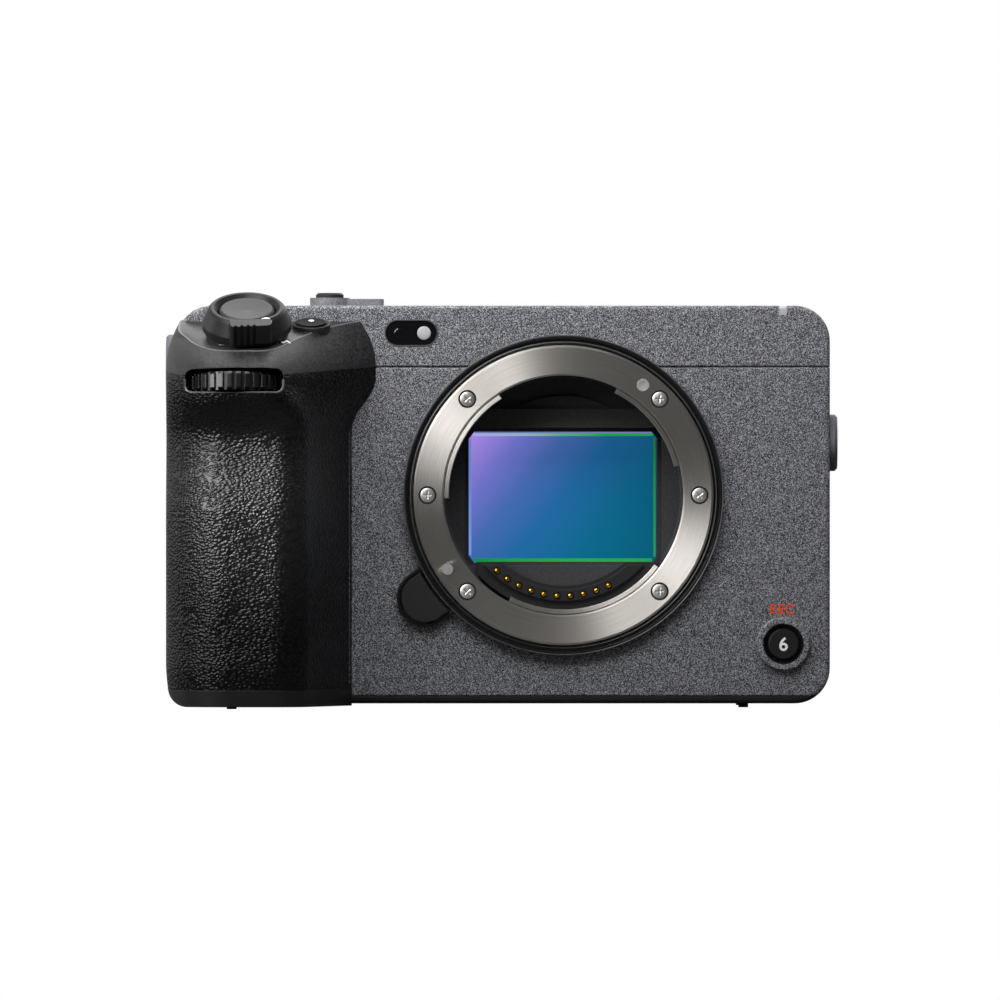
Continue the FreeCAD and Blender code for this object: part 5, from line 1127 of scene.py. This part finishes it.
def make_window_details(finish):
    """The pale lamp lens and the dark receiver lens behind the small front window, and its rim."""
    low, high = (np.array(c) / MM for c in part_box("remote_window"))
    y, z = low[1], (low[2] + high[2]) / 2
    lamp_lens = [(0, -0.12), (0.7, -0.1), (1.2, -0.05), (1.34, 0.02), (1.34, 0.1), (0, 0.1)]
    eye_lens = [(0, -0.06), (0.5, -0.05), (0.85, -0.02), (0.95, 0.02), (1.15, 0.0), (1.2, 0.06), (0, 0.06)]
    lamp = lathe("window_lamp", lamp_lens, (WINDOW_LAMP_X, y, z), INWARD, 48)
    dress(lamp, "camera", finish["lamp"])
    eye = lathe("window_eye", eye_lens, (WINDOW_EYE_X, y, z), INWARD, 48)
    dress(eye, "camera", finish["smoked"])
    outline = round_box(low[0], high[0], low[2], high[2], (high[2] - low[2]) / 2 - 0.01, 16)
    rim = tube("window_rim", facing_front(outline, BODY_FRONT + 0.02), WINDOW_WIRE)
    dress(rim, "camera", finish["ridge_grey"])


def ring_frame(name, outer, inner, front, back):
    """A flat frame between two outlines of equal count, with walls to its back."""
    rows = [facing_front(outer, front), facing_front(inner, front), facing_front(inner, back),
            facing_front(outer, back)]
    return mesh_object(name, np.array(rows), grid_faces(4, len(outer), True, True))


def cut_box(half_w, half_h, cut_x, cut_z):
    """Points of a rectangle round the sensor's middle, with its corners cut."""
    right, top = half_w - cut_x, half_h - cut_z
    flat = [(half_w, top), (right, half_h), (-right, half_h), (-half_w, top)]
    return np.array(flat + [(-x, -z) for x, z in flat]) + (0.0, AXIS_Z + SENSOR_DROP)


def make_sensor_details(finish):
    """Dark mask round the sensor, and bars of painted light along the edges of its filter."""
    glass_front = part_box("sensor_glass")[0][1] / MM
    mask = ring_frame("sensor_mask", cut_box(*MASK_OUTER), cut_box(*MASK_INNER), glass_front - 0.14,
                      glass_front - 0.02)
    dress(mask, "sensor", finish["chamber"])
    for name, x0, x1, z0, z1, shade in FILTER_BARS:
        flat = round_box(x0, x1, AXIS_Z + z0, AXIS_Z + z1, 0.04, 3)
        bar = slab(name, facing_front(flat, glass_front - 0.05), (0, 0.03, 0))
        dress(bar, "sensor", finish[shade])


def place_camera():
    """The camera, square to the front, far away with a long lens."""
    data = bpy.data.cameras.new("front_view")
    data.sensor_width = SENSOR_WIDTH
    data.lens = SENSOR_WIDTH * VIEW_DISTANCE / VIEW_WIDTH
    data.clip_end = 20.0
    camera = bpy.data.objects.new("front_view", data)
    camera.location = (VIEW_X, -VIEW_DISTANCE, VIEW_Z)
    camera.rotation_euler = (math.pi / 2, 0, 0)
    bpy.context.collection.objects.link(camera)
    bpy.context.scene.camera = camera


def soft_lamp(name, place, aim, width, height, watts, dull, glossy):
    """A soft box lamp that points at a place; it may serve dull or glossy surfaces alone."""
    data = bpy.data.lights.new(name, "AREA")
    data.shape = "RECTANGLE"
    data.size = width
    data.size_y = height
    data.energy = watts
    lamp = bpy.data.objects.new(name, data)
    lamp.location = place
    side, across, up = frame_of(np.array(place) - np.array(aim))
    if across[2] < 0:
        side, across = -side, -across
    lamp.rotation_euler = Matrix(np.array([side, across, up]).T.tolist()).to_euler()
    lamp.visible_camera = False
    lamp.visible_diffuse = dull
    lamp.visible_glossy = glossy
    bpy.context.collection.objects.link(lamp)


def light_studio():
    """A dim room that brightens overhead and behind, shown to the camera as white, and its lamps."""
    world = bpy.data.worlds.new("studio")
    world.use_nodes = True
    bpy.context.scene.world = world
    room = world.node_tree.nodes["Background"]
    place = add(world, "ShaderNodeTexCoord")
    parts = add(world, "ShaderNodeSeparateXYZ")
    link(world, place, "Generated", parts, 0)
    height = spread(world, parts, "Z", *ROOM_RISE, ROOM_LOW, ROOM_HIGH)
    behind = spread(world, parts, "Y", *ROOM_TURN, 0.0, ROOM_BEHIND)
    higher = number(world, "MAXIMUM", height, "Result")
    link(world, behind, "Result", higher, 1)
    link(world, higher, 0, room, "Color")
    white = add(world, "ShaderNodeBackground", Color=WHITE)
    shown = blend(world, seen_directly(world), 0, room, white)
    link(world, shown, 0, world.node_tree.nodes["World Output"], "Surface")
    for name, values in LAMPS.items():
        soft_lamp(name, *values)


def lay_floor():
    """A wide white floor that keeps the soft shadow near the object and is clear from below."""
    low = CAD_BOX[0][2] / MM
    square = ((-FLOOR_HALF, -FLOOR_HALF), (FLOOR_HALF, -FLOOR_HALF), (FLOOR_HALF, FLOOR_HALF),
              (-FLOOR_HALF, FLOOR_HALF))
    floor = mesh_object("floor", [(x, y, low) for x, y in square], [[0, 1, 2, 3]])
    mat = surface("floor_white", (FLOOR_TONE,) * 3 + (1.0,), 0.8, specular=0.0)
    matt = shader_of(mat)
    glow = add(mat, "ShaderNodeEmission", Color=WHITE, Strength=FLOOR_GLOW)
    white = add(mat, "ShaderNodeEmission", Color=WHITE, Strength=1.0)
    shaded = add(mat, "ShaderNodeAddShader")
    link(mat, matt, 0, shaded, 0)
    link(mat, glow, 0, shaded, 1)
    place = add(mat, "ShaderNodeTexCoord")
    reach = vector(mat, "LENGTH", place, "Object")
    away = spread(mat, reach, "Value", *SHADOW_REACH, kind="SMOOTHSTEP")
    bright = blend(mat, away, 0, shaded, white)
    above = blend(mat, seen_directly(mat), 0, matt, bright)
    face = add(mat, "ShaderNodeNewGeometry")
    clear = add(mat, "ShaderNodeBsdfTransparent")
    whole = blend(mat, face, "Backfacing", above, clear)
    link(mat, whole, 0, mat.node_tree.nodes["Material Output"], "Surface")
    floor.data.materials.append(mat)


def main():
    """Finishes, fine pieces, camera, lamps and floor, in this order."""
    bpy.context.scene.view_settings.view_transform = "Standard"
    finish = make_finishes()
    finish_nodes(finish)
    for make in (make_grip, make_mount_details, make_screw_heads, make_slot_rim, make_cap_edge, make_welt,
                 make_bezel_lines, make_front_marks, make_button_recess, make_cap_marks, make_lever_mark,
                 make_window_details, make_sensor_details):
        make(finish)
    place_camera()
    light_studio()
    lay_floor()


main()
